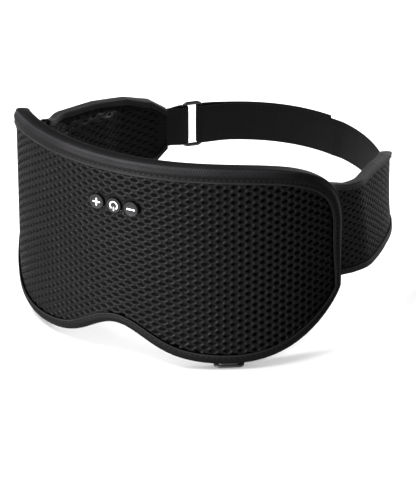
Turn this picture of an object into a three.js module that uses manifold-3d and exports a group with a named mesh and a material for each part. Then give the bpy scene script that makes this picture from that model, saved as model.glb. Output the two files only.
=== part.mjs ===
// Eye massager mask: a soft heated massage mask with built-in speakers, worn round the head.
// Millimetres, +Z up, +X to the wearer's left, +Y to the back of the head. The origin is the
// middle of the head opening, at half the height of the strap.
//
// Most pieces are curved sheets that follow the band round the head, so they are drawn in
// band coordinates: s is the distance along the band from the nose (+ towards +X), z is the
// height, and depth is the distance outwards from the outer face of the mask (- is inwards).

import * as THREE from 'three';
import { mergeVertices } from 'three/addons/utils/BufferGeometryUtils.js';
import Module from 'manifold-3d';

const wasm = await Module();
wasm.setup();

// ---------------------------------------------------------------- driving dimensions

const GAP = 0.3;                // between pieces that touch

// Head opening in plan: half an ellipse in front and half an ellipse behind.
const HALF_WIDTH = 86.1;
const FRONT_REACH = 75.2;
const REAR_REACH = 113.1;

// Mask outline, measured from the level where its rounded ends meet.
const MASK_HALF_LENGTH = 111.9;  // along the band
const MASK_END_SHARE = 0.995;    // the ends are cut square at this share of the half length
const END_LEVEL = -9.5;
const BROW_RISE = 65.7;
const BROW_DROOP = 8.9;
const BROW_CORNER = 5.8;         // exponent of the rounded upper corners
const CHEEK_DROP = 27.6;
const CHEEK_LOBE = 40.0;
const CHEEK_TAPER = 45.6;
const CHEEK_CORNER = 2.16;       // exponent of the rounded lower corners
const NOSE_NOTCH = 11.9;
const NOSE_NOTCH_WIDTH = 20.1;

// Layers of the mask, from the outside in.
const COVER_THICK = 1.4;
const FOAM_INSET = 1.6;
const WIRE_SIZE = 0.8;
const FILM_THICK = 0.3;
const LINER_THICK = 0.8;
const BINDING_THICK = 0.8;
const BINDING_LEG_TOP = 6.4;
const BINDING_LEG_BOTTOM = 4.5;

// Padded rings round the eyes.
const PAD_CENTRE = 41;
const PAD_LEVEL = -2;
const PAD_HALF_LENGTH = 24;
const PAD_HALF_HEIGHT = 20;
const PAD_RING_WIDTH = 11;
const PAD_THICK = 8;

// Heating films.
const FILM_LEVEL = 1;
const FILM_HALF_HEIGHT = 19;
const FILM_FROM_CASE = 4;
const FILM_FROM_MOTOR = 8;

// Control case behind the brow, with its board, battery and three push buttons.
const CASE_WIDTH = 30;
const CASE_BOTTOM = 11;
const CASE_TOP = 43;
const CASE_WALL = 1.1;
const CASE_PLATE = 1.2;
const CASE_CORNER = 4;
const BOARD_THICK = 1;
const BATTERY_THICK = 3.4;
const SWITCH_SIZE = 4;
const SWITCH_HEIGHT = 1;
const PLUNGER_REACH = 0.5;
const BUTTON_LEVEL = 33.5;
const BUTTON_SIZE = 7.2;
const BUTTON_RIB = 1.7;          // between two buttons
const BUTTON_PROUD = 0.8;
const STEM_SIZE = 2.4;

// Coin vibration motors.
const MOTOR_FROM_END = 28;
const MOTOR_LEVEL = 6;
const MOTOR_SIZE = 10;
const MOTOR_THICK = 3.2;
const MOTOR_WALL = 0.4;
const MOTOR_STANDOFF = 0.5;      // behind the cover
const MOTOR_PROUD = 0.6;         // the motor is thicker than the foam by this much

// Charging port in the lower edge of one cheek.
const SOCKET_WIDTH = 8.94;
const SOCKET_HEIGHT = 3.26;
const SOCKET_LENGTH = 7.3;
const SOCKET_WALL = 0.3;
const BEZEL_WIDTH = 14;
const BEZEL_HEIGHT = 6.6;
const BEZEL_THICK = 0.9;

// Temple wings and the speakers inside them.
const WING_LENGTH = 98.8;        // mask end to strap seam, along the band
const WING_TUCK = 10;            // hidden behind the mask end
const WING_LINER_TUCK = 20;
const WING_CLOTH = 0.8;
const WING_LEAN = 0.135;         // inward slope of the upper wing
const WING_LEAN_LEVEL = -12;
const WING_HEM = 2.5;
const WING_HEM_THICK = 0.6;
const SPEAKER_PLACE = 40;        // behind the mask end
const SPEAKER_LEVEL = 3;
const SPEAKER_SIZE = 25;
const SPEAKER_THICK = 4.4;
const SPEAKER_FADE = 16;         // the wing thins again over this length behind the speaker

// Elastic strap and its ring.
const STRAP_HEIGHT = 20;
const STRAP_THICK = 1;
const SHORT_STRAP = 10;          // wing seam to the near bar of the ring
const SEAM_LAP = 8;              // strap held between the layers of a wing
const RING_BAR = 1.9;
const RING_SLOT = 7.4;
const RING_CLEAR = 0.75;
const TAIL_LENGTH = 70;
const HOOK_LENGTH = 46;
const HOOK_THICK = 0.7;

// Depths of the mask's layers, worked out from their thicknesses.
const COVER_IN = -COVER_THICK;
const FOAM_OUT = COVER_IN - GAP;
const FOAM_IN = FOAM_OUT - (MOTOR_THICK - MOTOR_PROUD);
const FILM_OUT = FOAM_IN - GAP;
const WIRE_DEPTH = FOAM_IN - GAP - WIRE_SIZE / 2;
const MOTOR_FRONT = COVER_THICK + MOTOR_STANDOFF;
const LINER_OUT = FOAM_IN - WIRE_SIZE - 2 * GAP;
const LINER_IN = LINER_OUT - LINER_THICK;
const BINDING_IN = LINER_IN - GAP - BINDING_THICK;
const SEAM = MASK_HALF_LENGTH + WING_LENGTH;
const STRAP_LOW = -STRAP_HEIGHT / 2;
const STRAP_HIGH = STRAP_HEIGHT / 2;

// ---------------------------------------------------------------- the band round the head

// Distance along the band against angle, from the front round to the middle of the back.
const BAND_STEPS = 1440;
const bandLengths = [0];
for (let i = 1; i <= BAND_STEPS; i += 1) {
  const angle = (Math.PI * (i - 0.5)) / BAND_STEPS;
  const reach = angle < Math.PI / 2 ? FRONT_REACH : REAR_REACH;
  const speed = Math.hypot(HALF_WIDTH * Math.cos(angle), reach * Math.sin(angle));
  bandLengths.push(bandLengths[i - 1] + (speed * Math.PI) / BAND_STEPS);
}
const HALF_LOOP = bandLengths[BAND_STEPS];

function angleAt(s) {
  const turns = Math.round(s / (2 * HALF_LOOP));
  const rest = s - turns * 2 * HALF_LOOP;
  const distance = Math.abs(rest);
  let low = 0;
  let high = BAND_STEPS;
  while (high - low > 1) {
    const middle = (low + high) >> 1;
    if (bandLengths[middle] > distance) high = middle;
    else low = middle;
  }
  const share = (distance - bandLengths[low]) / (bandLengths[high] - bandLengths[low]);
  return (Math.sign(rest) * Math.PI * (low + share)) / BAND_STEPS;
}

// Turn of the band about Z: 0 at the nose, where it runs along +X.
function headingAt(s) {
  const angle = angleAt(s);
  const reach = Math.abs(angle) < Math.PI / 2 ? FRONT_REACH : REAR_REACH;
  return Math.atan2(reach * Math.sin(angle), HALF_WIDTH * Math.cos(angle));
}

function bandPoint(s, z, depth) {
  const angle = angleAt(s);
  const reach = Math.abs(angle) < Math.PI / 2 ? FRONT_REACH : REAR_REACH;
  const heading = headingAt(s);
  return new THREE.Vector3(
    HALF_WIDTH * Math.sin(angle) + depth * Math.sin(heading),
    -reach * Math.cos(angle) - depth * Math.cos(heading),
    z,
  );
}

// A group whose +X runs along the band, whose +Y points inwards and whose +Z is up.
function bandGroup(s, z, depth = 0) {
  const group = new THREE.Group();
  group.position.copy(bandPoint(s, z, depth));
  group.rotation.z = headingAt(s);
  return group;
}

// ---------------------------------------------------------------- helpers

const range = (count) => Array.from({ length: count }, (_, i) => i);
const mix = (a, b, share) => a + (b - a) * share;
const smooth = (from, to, value) => THREE.MathUtils.smoothstep(value, from, to);
const spread = (from, to, steps) => range(steps + 1).map((i) => mix(from, to, i / steps));

function volumeOf(points, faces) {
  const cross = new THREE.Vector3();
  return faces.reduce((sum, [a, b, c]) => sum
    + cross.crossVectors(points[b], points[c]).dot(points[a]) / 6, 0);
}

// A closed geometry from points and triangles, with its faces turned outwards.
function closedGeometry(points, faces) {
  const outward = volumeOf(points, faces) > 0;
  const geometry = new THREE.BufferGeometry();
  geometry.setFromPoints(points);
  geometry.setIndex(faces.flatMap(([a, b, c]) => (outward ? [a, b, c] : [a, c, b])));
  geometry.computeVertexNormals();
  return geometry;
}

function capFaces(ring, offset) {
  const normal = new THREE.Vector3();
  ring.forEach((p, i) => normal.add(new THREE.Vector3().crossVectors(p, ring[(i + 1) % ring.length])));
  normal.normalize();
  const across = new THREE.Vector3().subVectors(ring[1], ring[0]);
  across.addScaledVector(normal, -across.dot(normal)).normalize();
  const up = new THREE.Vector3().crossVectors(normal, across);
  const flat = ring.map((p) => new THREE.Vector2(p.dot(across), p.dot(up)));
  return THREE.ShapeUtils.triangulateShape(flat, []).map((face) => face.map((i) => i + offset));
}

// Rings of points joined into a tube, closed on itself or capped at both ends.
function loft(rings, closed = false) {
  const size = rings[0].length;
  const faces = [];
  const spans = closed ? rings.length : rings.length - 1;
  for (let i = 0; i < spans; i += 1) {
    const here = i * size;
    const next = ((i + 1) % rings.length) * size;
    for (let j = 0; j < size; j += 1) {
      const k = (j + 1) % size;
      faces.push([here + j, next + j, next + k], [here + j, next + k, here + k]);
    }
  }
  if (!closed) {
    faces.push(...capFaces(rings[0], 0).map(([a, b, c]) => [a, b, c]));
    faces.push(...capFaces(rings[rings.length - 1], (rings.length - 1) * size).map(([a, b, c]) => [a, c, b]));
  }
  return closedGeometry(rings.flat(), faces);
}

// A curved sheet: at each distance s it runs from bottom(s) to top(s), between two depths.
function sheet(stations, top, bottom, outer, inner, rowsAt = (low, high) => [low, high]) {
  const rings = stations.map((s) => {
    const heights = rowsAt(bottom(s), top(s));
    const front = heights.map((z) => bandPoint(s, z, outer(s, z)));
    const back = heights.map((z) => bandPoint(s, z, inner(s, z)));
    return [...front, ...back.reverse()];
  });
  return loft(rings);
}

// A closed rim: section(point) gives [inset, depth] pairs, inset being measured into the loop.
function rim(loop, section, place = bandPoint) {
  const area = loop.reduce((sum, p, i) => {
    const q = loop[(i + 1) % loop.length];
    return sum + p[0] * q[1] - q[0] * p[1];
  }, 0);
  const side = Math.sign(area);
  const rings = loop.map((point, i) => {
    const before = loop[(i + loop.length - 1) % loop.length];
    const after = loop[(i + 1) % loop.length];
    const first = new THREE.Vector2(point[0] - before[0], point[1] - before[1]).normalize();
    const second = new THREE.Vector2(after[0] - point[0], after[1] - point[1]).normalize();
    const along = first.clone().add(second).normalize();
    const mitre = 1 / Math.max(0.5, along.dot(first));
    const inward = new THREE.Vector2(-along.y * side, along.x * side).multiplyScalar(mitre);
    return section(point).map(([inset, depth]) => place(
      point[0] + inward.x * inset,
      point[1] + inward.y * inset,
      depth,
    ));
  });
  return loft(rings, true);
}

function toSolid(geometry) {
  const bare = geometry.clone();
  bare.deleteAttribute('normal');
  bare.deleteAttribute('uv');
  const merged = mergeVertices(bare, 1e-4);
  const corners = merged.index.array;
  const triangles = range(corners.length / 3)
    .map((i) => [corners[3 * i], corners[3 * i + 1], corners[3 * i + 2]])
    .filter(([a, b, c]) => a !== b && b !== c && c !== a);
  return new wasm.Manifold(new wasm.Mesh({
    numProp: 3,
    vertProperties: new Float32Array(merged.attributes.position.array),
    triVerts: new Uint32Array(triangles.flat()),
  }));
}

function fromSolid(solid) {
  const mesh = solid.getMesh();
  const geometry = new THREE.BufferGeometry();
  geometry.setAttribute('position', new THREE.BufferAttribute(mesh.vertProperties, 3));
  geometry.setIndex(new THREE.BufferAttribute(mesh.triVerts, 1));
  geometry.computeVertexNormals();
  return geometry;
}

function cut(geometry, ...tools) {
  return fromSolid(tools.reduce((solid, tool) => solid.subtract(toSolid(tool)), toSolid(geometry)));
}

function finish(color, roughness, metalness = 0) {
  return new THREE.MeshStandardMaterial({ color, roughness, metalness });
}

const assembly = new THREE.Group();

function add(name, geometry, material, parent = assembly) {
  const mesh = new THREE.Mesh(geometry, material);
  mesh.name = name;
  parent.add(mesh);
  return mesh;
}

// A turned piece whose axis is the +Y axis; the profile holds [radius, height along Y].
function turned(profile, segments = 24) {
  return new THREE.LatheGeometry(profile.map(([r, y]) => new THREE.Vector2(r, y)), segments);
}

function disc(radius, from, to, segments = 20) {
  return turned([[0, from], [radius, from], [radius, to], [0, to]], segments);
}

// Corner points of a rounded rectangle, anticlockwise.
function roundedOutline(width, height, corner, steps = 4) {
  const quarters = [[1, -1, -90], [1, 1, 0], [-1, 1, 90], [-1, -1, 180]];
  return quarters.flatMap(([side, end, start]) => range(steps + 1).map((i) => {
    const angle = THREE.MathUtils.degToRad(start + (90 * i) / steps);
    return new THREE.Vector2(
      side * (width / 2 - corner) + corner * Math.cos(angle),
      end * (height / 2 - corner) + corner * Math.sin(angle),
    );
  }));
}

function roundedRectangle(width, height, corner) {
  return new THREE.Shape(roundedOutline(width, height, corner));
}

// A flat plate that lies across Y: width along X, height along Z, from one Y to another.
function plate(width, height, corner, from, to, level = 0) {
  const depth = to - from;
  const geometry = new THREE.ExtrudeGeometry(roundedRectangle(width, height, corner), {
    depth, bevelEnabled: false, curveSegments: 4,
  });
  geometry.rotateX(Math.PI / 2);
  geometry.translate(0, to, level);
  return geometry;
}

function block(width, depth, height, x, y, z) {
  const geometry = new THREE.BoxGeometry(width, depth, height);
  geometry.translate(x, y, z);
  return geometry;
}

// A round wire through points given in band coordinates, which it follows round the band.
function wire(points, size = WIRE_SIZE) {
  const drawn = new THREE.CatmullRomCurve3(points.map((p) => new THREE.Vector3(...p)), false, 'centripetal');
  const places = drawn.getSpacedPoints(Math.max(6, Math.round(drawn.getLength() / 3)));
  const route = new THREE.CatmullRomCurve3(places.map((p) => bandPoint(p.x, p.y, p.z)), false, 'centripetal');
  const section = new THREE.Shape(range(6).map((i) => new THREE.Vector2(
    (size / 2) * Math.cos((i * Math.PI) / 3),
    (size / 2) * Math.sin((i * Math.PI) / 3),
  )));
  const steps = Math.max(6, Math.round(route.getLength() / 5));
  return new THREE.ExtrudeGeometry(section, { steps, extrudePath: route, bevelEnabled: false });
}

// ---------------------------------------------------------------- materials

const meshFabric = finish(0x242225, 0.92);
const foamGrey = finish(0x3a3a3d, 0.95);
const liningFabric = finish(0x1d1d20, 0.85);
const bindingFabric = finish(0x19191b, 0.8);
const padFabric = finish(0x232326, 0.8);
const elastic = finish(0x1a1a1a, 0.75);
const rubber = finish(0x3d3a3d, 0.55);
const blackPlastic = finish(0x141416, 0.45);
const ringPlastic = finish(0x0f0f10, 0.3);
const boardGreen = finish(0x1f5a3a, 0.5);
const foilSilver = finish(0xb9bcc0, 0.35, 0.8);
const steel = finish(0xa9acb0, 0.3, 1);
const copperFilm = finish(0xb07a3c, 0.4, 0.4);
const wireJacket = finish(0x8c1f1f, 0.5);
const conePaper = finish(0x2b2b2e, 0.7);

// ---------------------------------------------------------------- mask outline

function maskTop(s, inset = 0) {
  const u = Math.min(1, Math.abs(s) / (MASK_HALF_LENGTH - inset));
  const rise = BROW_RISE - BROW_DROOP * u ** 4;
  return END_LEVEL - inset + rise * (1 - u ** BROW_CORNER) ** (1 / BROW_CORNER);
}

function maskBottom(s, inset = 0) {
  const u = Math.min(1, Math.abs(s) / (MASK_HALF_LENGTH - inset));
  const notch = NOSE_NOTCH * Math.exp(-((s / NOSE_NOTCH_WIDTH) ** 2));
  const drop = CHEEK_DROP + CHEEK_LOBE * u ** 2 - CHEEK_TAPER * u ** 4 - notch;
  return END_LEVEL + inset - drop * (1 - u ** CHEEK_CORNER) ** (1 / CHEEK_CORNER);
}

// Distances along the mask, closer together towards its ends, where the outline turns.
function maskStations(steps, inset = 0) {
  const limit = Math.asin(MASK_END_SHARE);
  return spread(-limit, limit, steps).map((turn) => (MASK_HALF_LENGTH - inset) * Math.sin(turn));
}

// ---------------------------------------------------------------- mask cover and binding

const MASK_STEPS = 46;
const caseHalf = CASE_WIDTH / 2;
const caseHeight = CASE_TOP - CASE_BOTTOM;
const caseMiddle = (CASE_TOP + CASE_BOTTOM) / 2;
// The case is flat, and its front corners touch the curved cover first.
const caseFront = bandPoint(caseHalf + GAP, 0, COVER_IN - GAP).y;
const switchFront = caseFront + CASE_PLATE + GAP + PLUNGER_REACH;
const boardFront = switchFront + SWITCH_HEIGHT + GAP;
const batteryFront = boardFront + BOARD_THICK + GAP;
const caseBack = batteryFront + BATTERY_THICK + GAP + CASE_WALL;
const coverFront = -FRONT_REACH;
const buttonSpacing = BUTTON_SIZE + BUTTON_RIB;
const buttonPlaces = { plus: -buttonSpacing, power: 0, minus: buttonSpacing };

function moved(geometry, x, y, z) {
  return geometry.clone().translate(x, y, z);
}

function buildCover() {
  const outline = sheet(maskStations(MASK_STEPS), (s) => maskTop(s), (s) => maskBottom(s),
    () => 0, () => COVER_IN);
  const hole = disc(BUTTON_SIZE / 2 + GAP, coverFront - 5, coverFront + 5);
  const holes = Object.values(buttonPlaces).map((x) => moved(hole, x, 0, BUTTON_LEVEL));
  add('front_mesh_cover', cut(outline, ...holes), meshFabric);
}

// The outline as a closed loop of [s, z] points.
function maskLoop() {
  const stations = maskStations(MASK_STEPS);
  const upper = stations.map((s) => [s, maskTop(s)]);
  const lower = stations.map((s) => [s, maskBottom(s)]).reverse();
  return [...upper, ...lower];
}

// The port is at the lowest point of the cheek, where the edge is level.
const portPlace = spread(0, MASK_HALF_LENGTH, 200)
  .reduce((best, s) => (maskBottom(s) < maskBottom(best) ? s : best));
const socketDepth = (FOAM_OUT + LINER_OUT + GAP) / 2;
const portBottom = maskBottom(portPlace) - GAP - BINDING_THICK;
const neckWidth = SOCKET_WIDTH + 1.7;
const neckHeight = SOCKET_HEIGHT + 1.7;

function buildBinding() {
  const section = ([, z]) => {
    const share = smooth(END_LEVEL - 5, END_LEVEL + 25, z);
    const leg = mix(BINDING_LEG_BOTTOM, BINDING_LEG_TOP, share);
    const outside = -GAP - BINDING_THICK;
    return [
      [outside, GAP + BINDING_THICK], [leg, GAP + BINDING_THICK], [leg, GAP], [-GAP, GAP],
      [-GAP, LINER_IN - GAP], [leg, LINER_IN - GAP], [leg, BINDING_IN], [outside, BINDING_IN],
    ];
  };
  const edge = rim(maskLoop(), section);
  const portHole = bandGroup(portPlace, portBottom, socketDepth);
  portHole.updateMatrixWorld(true);
  const opening = block(neckWidth + 2 * GAP, neckHeight + 2 * GAP, 4, 0, 0, 0);
  opening.applyMatrix4(portHole.matrixWorld);
  add('edge_binding', cut(edge, opening), bindingFabric);
}

// ---------------------------------------------------------------- foam and face liner

const motorPlace = MASK_HALF_LENGTH - MOTOR_FROM_END;
const motorPlaces = { left: motorPlace, right: -motorPlace };

function placed(geometry, group) {
  group.updateMatrixWorld(true);
  return geometry.clone().applyMatrix4(group.matrixWorld);
}

function buildFoam() {
  const shell = sheet(maskStations(MASK_STEPS, FOAM_INSET),
    (s) => maskTop(s, FOAM_INSET), (s) => maskBottom(s, FOAM_INSET), () => FOAM_OUT, () => FOAM_IN);
  const caseWindow = block(CASE_WIDTH + 2 * GAP, 20, caseHeight + 2 * GAP, 0, caseFront, caseMiddle);
  const motorHole = disc(MOTOR_SIZE / 2 + GAP, -10, 10);
  const motorHoles = Object.values(motorPlaces).map((s) => placed(motorHole, bandGroup(s, MOTOR_LEVEL)));
  const pocket = block(SOCKET_WIDTH + 4, 20, 24, 0, 0, 0);
  const portPocket = placed(pocket, bandGroup(portPlace, portBottom + 8));
  add('foam_shell', cut(shell, caseWindow, ...motorHoles, portPocket), foamGrey);
}

// Rounded, tapering lump that lies across Y, for the padded bulge over the case.
function bulge(width, height, taper, from, to, level) {
  const rings = [[2 * taper, from], [0, to]].map(([grow, y]) => (
    roundedOutline(width + grow, height + grow, CASE_CORNER + grow / 2)
      .map((p) => new THREE.Vector3(p.x, y, level + p.y))));
  return loft(rings);
}

const HARNESS_FROM_END = 15;
const harnessExit = MASK_HALF_LENGTH - HARNESS_FROM_END;
const HARNESS_LEVEL = 12;
const HARNESS_HOLE = 5;

function buildLiner() {
  const stations = maskStations(MASK_STEPS, FOAM_INSET / 2);
  const inset = FOAM_INSET / 2;
  const layer = sheet(stations, (s) => maskTop(s, inset), (s) => maskBottom(s, inset),
    () => LINER_OUT, () => LINER_IN);
  const insideOnly = sheet(spread(-40, 40, 20), () => 80, () => -80, () => LINER_OUT, () => -30);
  const bulgeTop = caseBack + GAP + LINER_THICK;
  const room = 2 * (GAP + LINER_THICK);
  const outer = bulge(CASE_WIDTH + room, caseHeight + room, 3, caseFront, bulgeTop, caseMiddle);
  const inner = bulge(CASE_WIDTH + 2 * GAP, caseHeight + 2 * GAP, 3 - LINER_THICK / 2,
    caseFront - 4, caseBack + GAP, caseMiddle);
  const lump = toSolid(outer).intersect(toSolid(insideOnly));
  const wireHole = disc(HARNESS_HOLE / 2, -12, 12, 12);
  const wireHoles = [-harnessExit, harnessExit]
    .map((s) => placed(wireHole, bandGroup(s, HARNESS_LEVEL)));
  const whole = fromSolid(toSolid(layer).add(lump).subtract(toSolid(inner)));
  add('face_liner', cut(whole, ...wireHoles), liningFabric);
}

const sides = { left: 1, right: -1 };
const PAD_STEPS = 28;

function buildEyePads() {
  const back = LINER_IN - GAP;
  const front = back - PAD_THICK;
  const section = () => [
    [1, back], [PAD_RING_WIDTH - 1, back], [PAD_RING_WIDTH, back - 1.2],
    [PAD_RING_WIDTH - 0.8, front + 1.8], [PAD_RING_WIDTH - 3, front],
    [3, front], [0.8, front + 1.8], [0, back - 1.2],
  ];
  for (const [side, sign] of Object.entries(sides)) {
    const loop = range(PAD_STEPS).map((i) => [
      sign * PAD_CENTRE + PAD_HALF_LENGTH * Math.cos((2 * i * Math.PI) / PAD_STEPS),
      PAD_LEVEL + PAD_HALF_HEIGHT * Math.sin((2 * i * Math.PI) / PAD_STEPS),
    ]);
    add(`${side}_eye_pad`, rim(loop, section), padFabric);
  }
}

const filmStart = caseHalf + FILM_FROM_CASE;
const filmEnd = motorPlace - MOTOR_SIZE / 2 - FILM_FROM_MOTOR;
const filmCentre = (filmStart + filmEnd) / 2;
const filmHalfLength = (filmEnd - filmStart) / 2;

// Half the height of a heating film, whose outline is a rounded oblong.
function filmHalf(s) {
  const share = Math.abs((Math.abs(s) - filmCentre) / filmHalfLength);
  return FILM_HALF_HEIGHT * Math.max(0, 1 - share ** 4) ** 0.25;
}

function buildFilms() {
  const turns = spread(-1.45, 1.45, 14);
  for (const [side, sign] of Object.entries(sides)) {
    const stations = turns.map((turn) => sign * filmCentre + filmHalfLength * Math.sin(turn));
    const film = sheet(stations, (s) => FILM_LEVEL + filmHalf(s), (s) => FILM_LEVEL - filmHalf(s),
      () => FILM_OUT, () => FILM_OUT - FILM_THICK);
    add(`${side}_heating_film`, film, copperFilm);
  }
}

// ---------------------------------------------------------------- control case

const capFront = coverFront - BUTTON_PROUD;

function buildCase() {
  const front = plate(CASE_WIDTH, caseHeight, CASE_CORNER, caseFront, caseFront + CASE_PLATE, caseMiddle);
  const hole = disc(STEM_SIZE / 2 + GAP, caseFront - 5, caseFront + 5, 16);
  const holes = Object.values(buttonPlaces).map((x) => moved(hole, x, 0, BUTTON_LEVEL));
  add('control_case_front', cut(front, ...holes), blackPlastic);

  const shellFrom = caseFront + CASE_PLATE + GAP;
  const shell = plate(CASE_WIDTH, caseHeight, CASE_CORNER, shellFrom, caseBack, caseMiddle);
  const inside = plate(CASE_WIDTH - 2 * CASE_WALL, caseHeight - 2 * CASE_WALL, CASE_CORNER - CASE_WALL,
    shellFrom - 1, caseBack - CASE_WALL, caseMiddle);
  add('control_case_back', cut(shell, inside), blackPlastic);

  const innerWidth = CASE_WIDTH - 2 * (CASE_WALL + GAP);
  const innerHeight = caseHeight - 2 * (CASE_WALL + GAP);
  const boardBack = boardFront + BOARD_THICK;
  add('control_board', plate(innerWidth, innerHeight, 2, boardFront, boardBack, caseMiddle), boardGreen);
  add('battery', plate(innerWidth - 1, innerHeight - 1, 1.5, batteryFront,
    batteryFront + BATTERY_THICK, caseMiddle), foilSilver);
}

// Each button is a cap in the cover, with a stem through the case to the plunger of its switch.
function buildButtons() {
  const plungerFront = switchFront - PLUNGER_REACH;
  const stemEnd = plungerFront - GAP;
  for (const [name, x] of Object.entries(buttonPlaces)) {
    const place = new THREE.Group();
    place.position.set(x, 0, BUTTON_LEVEL);
    assembly.add(place);
    const capBack = coverFront + 1.6;
    const cap = [
      [0, capFront], [BUTTON_SIZE / 2 - 0.5, capFront], [BUTTON_SIZE / 2, capFront + 0.5],
      [BUTTON_SIZE / 2, capBack], [STEM_SIZE / 2, capBack], [STEM_SIZE / 2, stemEnd], [0, stemEnd],
    ];
    add(`${name}_button`, turned(cap, 22), rubber, place);
    const body = block(SWITCH_SIZE, SWITCH_HEIGHT, SWITCH_SIZE, 0, switchFront + SWITCH_HEIGHT / 2, 0);
    const well = disc(0.9 + GAP, switchFront - 1, switchFront + SWITCH_HEIGHT - 0.2, 16);
    add(`${name}_switch`, cut(body, well), steel, place);
    add(`${name}_plunger`, disc(0.9, plungerFront, switchFront + 0.1, 12), blackPlastic, place);
  }
}

// ---------------------------------------------------------------- motors and charging port

function buildMotors() {
  const front = MOTOR_FRONT;
  const back = front + MOTOR_THICK;
  const radius = MOTOR_SIZE / 2;
  const inside = radius - MOTOR_WALL;
  const baseFront = back - 0.5;
  const pinFront = front + MOTOR_WALL + GAP;
  const can = turned([[0, front], [radius, front], [radius, back], [inside, back],
    [inside, front + MOTOR_WALL], [0, front + MOTOR_WALL]], 18);
  const base = turned([[0, pinFront], [0.4, pinFront], [0.4, baseFront], [inside - GAP, baseFront],
    [inside - GAP, back], [0, back]], 18);
  const half = new THREE.Shape();
  half.absarc(0, 0, inside - 0.8, 0, Math.PI);
  half.absarc(0, 0, 1.4, Math.PI, 2 * Math.PI);
  half.holes.push(new THREE.Path().absarc(0, 0, 0.4 + GAP, 0, 2 * Math.PI, true));
  const weightFront = pinFront + 0.1;
  const weight = new THREE.ExtrudeGeometry(half, {
    depth: baseFront - 0.4 - weightFront, bevelEnabled: false, curveSegments: 7,
  });
  weight.rotateX(Math.PI / 2);
  weight.translate(0, baseFront - 0.4, 0);
  for (const [side, s] of Object.entries(motorPlaces)) {
    const place = bandGroup(s, MOTOR_LEVEL);
    assembly.add(place);
    add(`${side}_motor_can`, can.clone(), steel, place);
    add(`${side}_motor_base`, base.clone(), boardGreen, place);
    add(`${side}_motor_weight`, weight.clone(), foilSilver, place);
  }
}

const socketMouth = -0.6;
const boardBottom = socketMouth + SOCKET_LENGTH + GAP;
const CHARGE_BOARD = { width: 12, height: 10, thick: 0.8 };

function uprightPlate(width, depth, corner, low, high) {
  const geometry = new THREE.ExtrudeGeometry(roundedRectangle(width, depth, corner), {
    depth: high - low, bevelEnabled: false,
  });
  return geometry.translate(0, 0, low);
}

function buildPort() {
  const place = bandGroup(portPlace, portBottom, socketDepth);
  assembly.add(place);
  const flange = uprightPlate(BEZEL_WIDTH, BEZEL_HEIGHT, 3, -GAP - BEZEL_THICK, -GAP);
  const neck = uprightPlate(neckWidth, neckHeight, 2.4, -GAP - BEZEL_THICK / 2, BINDING_THICK);
  const mouth = uprightPlate(SOCKET_WIDTH + 2 * GAP, SOCKET_HEIGHT + 2 * GAP, 1.9, -9, 9);
  const bezel = fromSolid(toSolid(flange).add(toSolid(neck)).subtract(toSolid(mouth)));
  add('port_bezel', bezel, blackPlastic, place);

  const shell = uprightPlate(SOCKET_WIDTH, SOCKET_HEIGHT, 1.6, socketMouth, socketMouth + SOCKET_LENGTH);
  const hollow = uprightPlate(SOCKET_WIDTH - 2 * SOCKET_WALL, SOCKET_HEIGHT - 2 * SOCKET_WALL, 1.3,
    socketMouth - 1, socketMouth + SOCKET_LENGTH - 1);
  const tongue = block(6.7, 0.7, SOCKET_LENGTH - 1, 0, 0, socketMouth + 0.5 + SOCKET_LENGTH / 2);
  const socket = fromSolid(toSolid(shell).subtract(toSolid(hollow)).add(toSolid(tongue)));
  add('usb_socket', socket, steel, place);

  const { width, height, thick } = CHARGE_BOARD;
  add('charge_board', block(width, thick, height, 0, 0, boardBottom + height / 2), boardGreen, place);
}

// ---------------------------------------------------------------- temple wings

// Heights of a wing's edges at shares of its length, from the mask end to the strap seam.
const WING_TOP = [[0, 35], [0.15, 30.4], [0.52, 26.4], [0.75, 21.6], [0.91, 16], [1, STRAP_HIGH]];
const WING_BOTTOM = [[0, -11.4], [0.15, -12.7], [0.52, -13.5], [0.82, -16.8], [0.9, -18.4],
  [1, STRAP_LOW]];

function along(points, share) {
  const next = points.findIndex(([at]) => at > share);
  if (next === 0) return points[0][1];
  if (next < 0) return points[points.length - 1][1];
  const [fromAt, from] = points[next - 1];
  const [toAt, to] = points[next];
  return mix(from, to, (share - fromAt) / (toAt - fromAt));
}

const wingShare = (s) => (Math.abs(s) - MASK_HALF_LENGTH) / WING_LENGTH;
const wingTop = (s) => along(WING_TOP, wingShare(s));
const wingBottom = (s) => along(WING_BOTTOM, wingShare(s));
const speakerPlace = MASK_HALF_LENGTH + SPEAKER_PLACE;
const tuckRoom = WIRE_SIZE + 2 * GAP;
const seamRoom = 2 * STRAP_THICK + 3 * GAP;
const speakerStandoff = GAP + 1;
const speakerRoom = speakerStandoff + SPEAKER_THICK + 0.7;
const strapMiddle = -WING_CLOTH - seamRoom / 2;

function leanAt(s) {
  const upright = WING_LENGTH - SEAM_LAP - 2;
  const share = THREE.MathUtils.clamp((Math.abs(s) - MASK_HALF_LENGTH) / upright, 0, 1);
  return WING_LEAN * Math.max(0, Math.sin(Math.PI * share)) ** 0.8;
}

function wingOuter(s, z) {
  const a = Math.abs(s);
  const tucked = BINDING_IN - GAP;
  const out = smooth(MASK_HALF_LENGTH + 2, speakerPlace - SPEAKER_SIZE / 2, a);
  return mix(tucked, 0, out) - leanAt(s) * (z - WING_LEAN_LEVEL);
}

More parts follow.
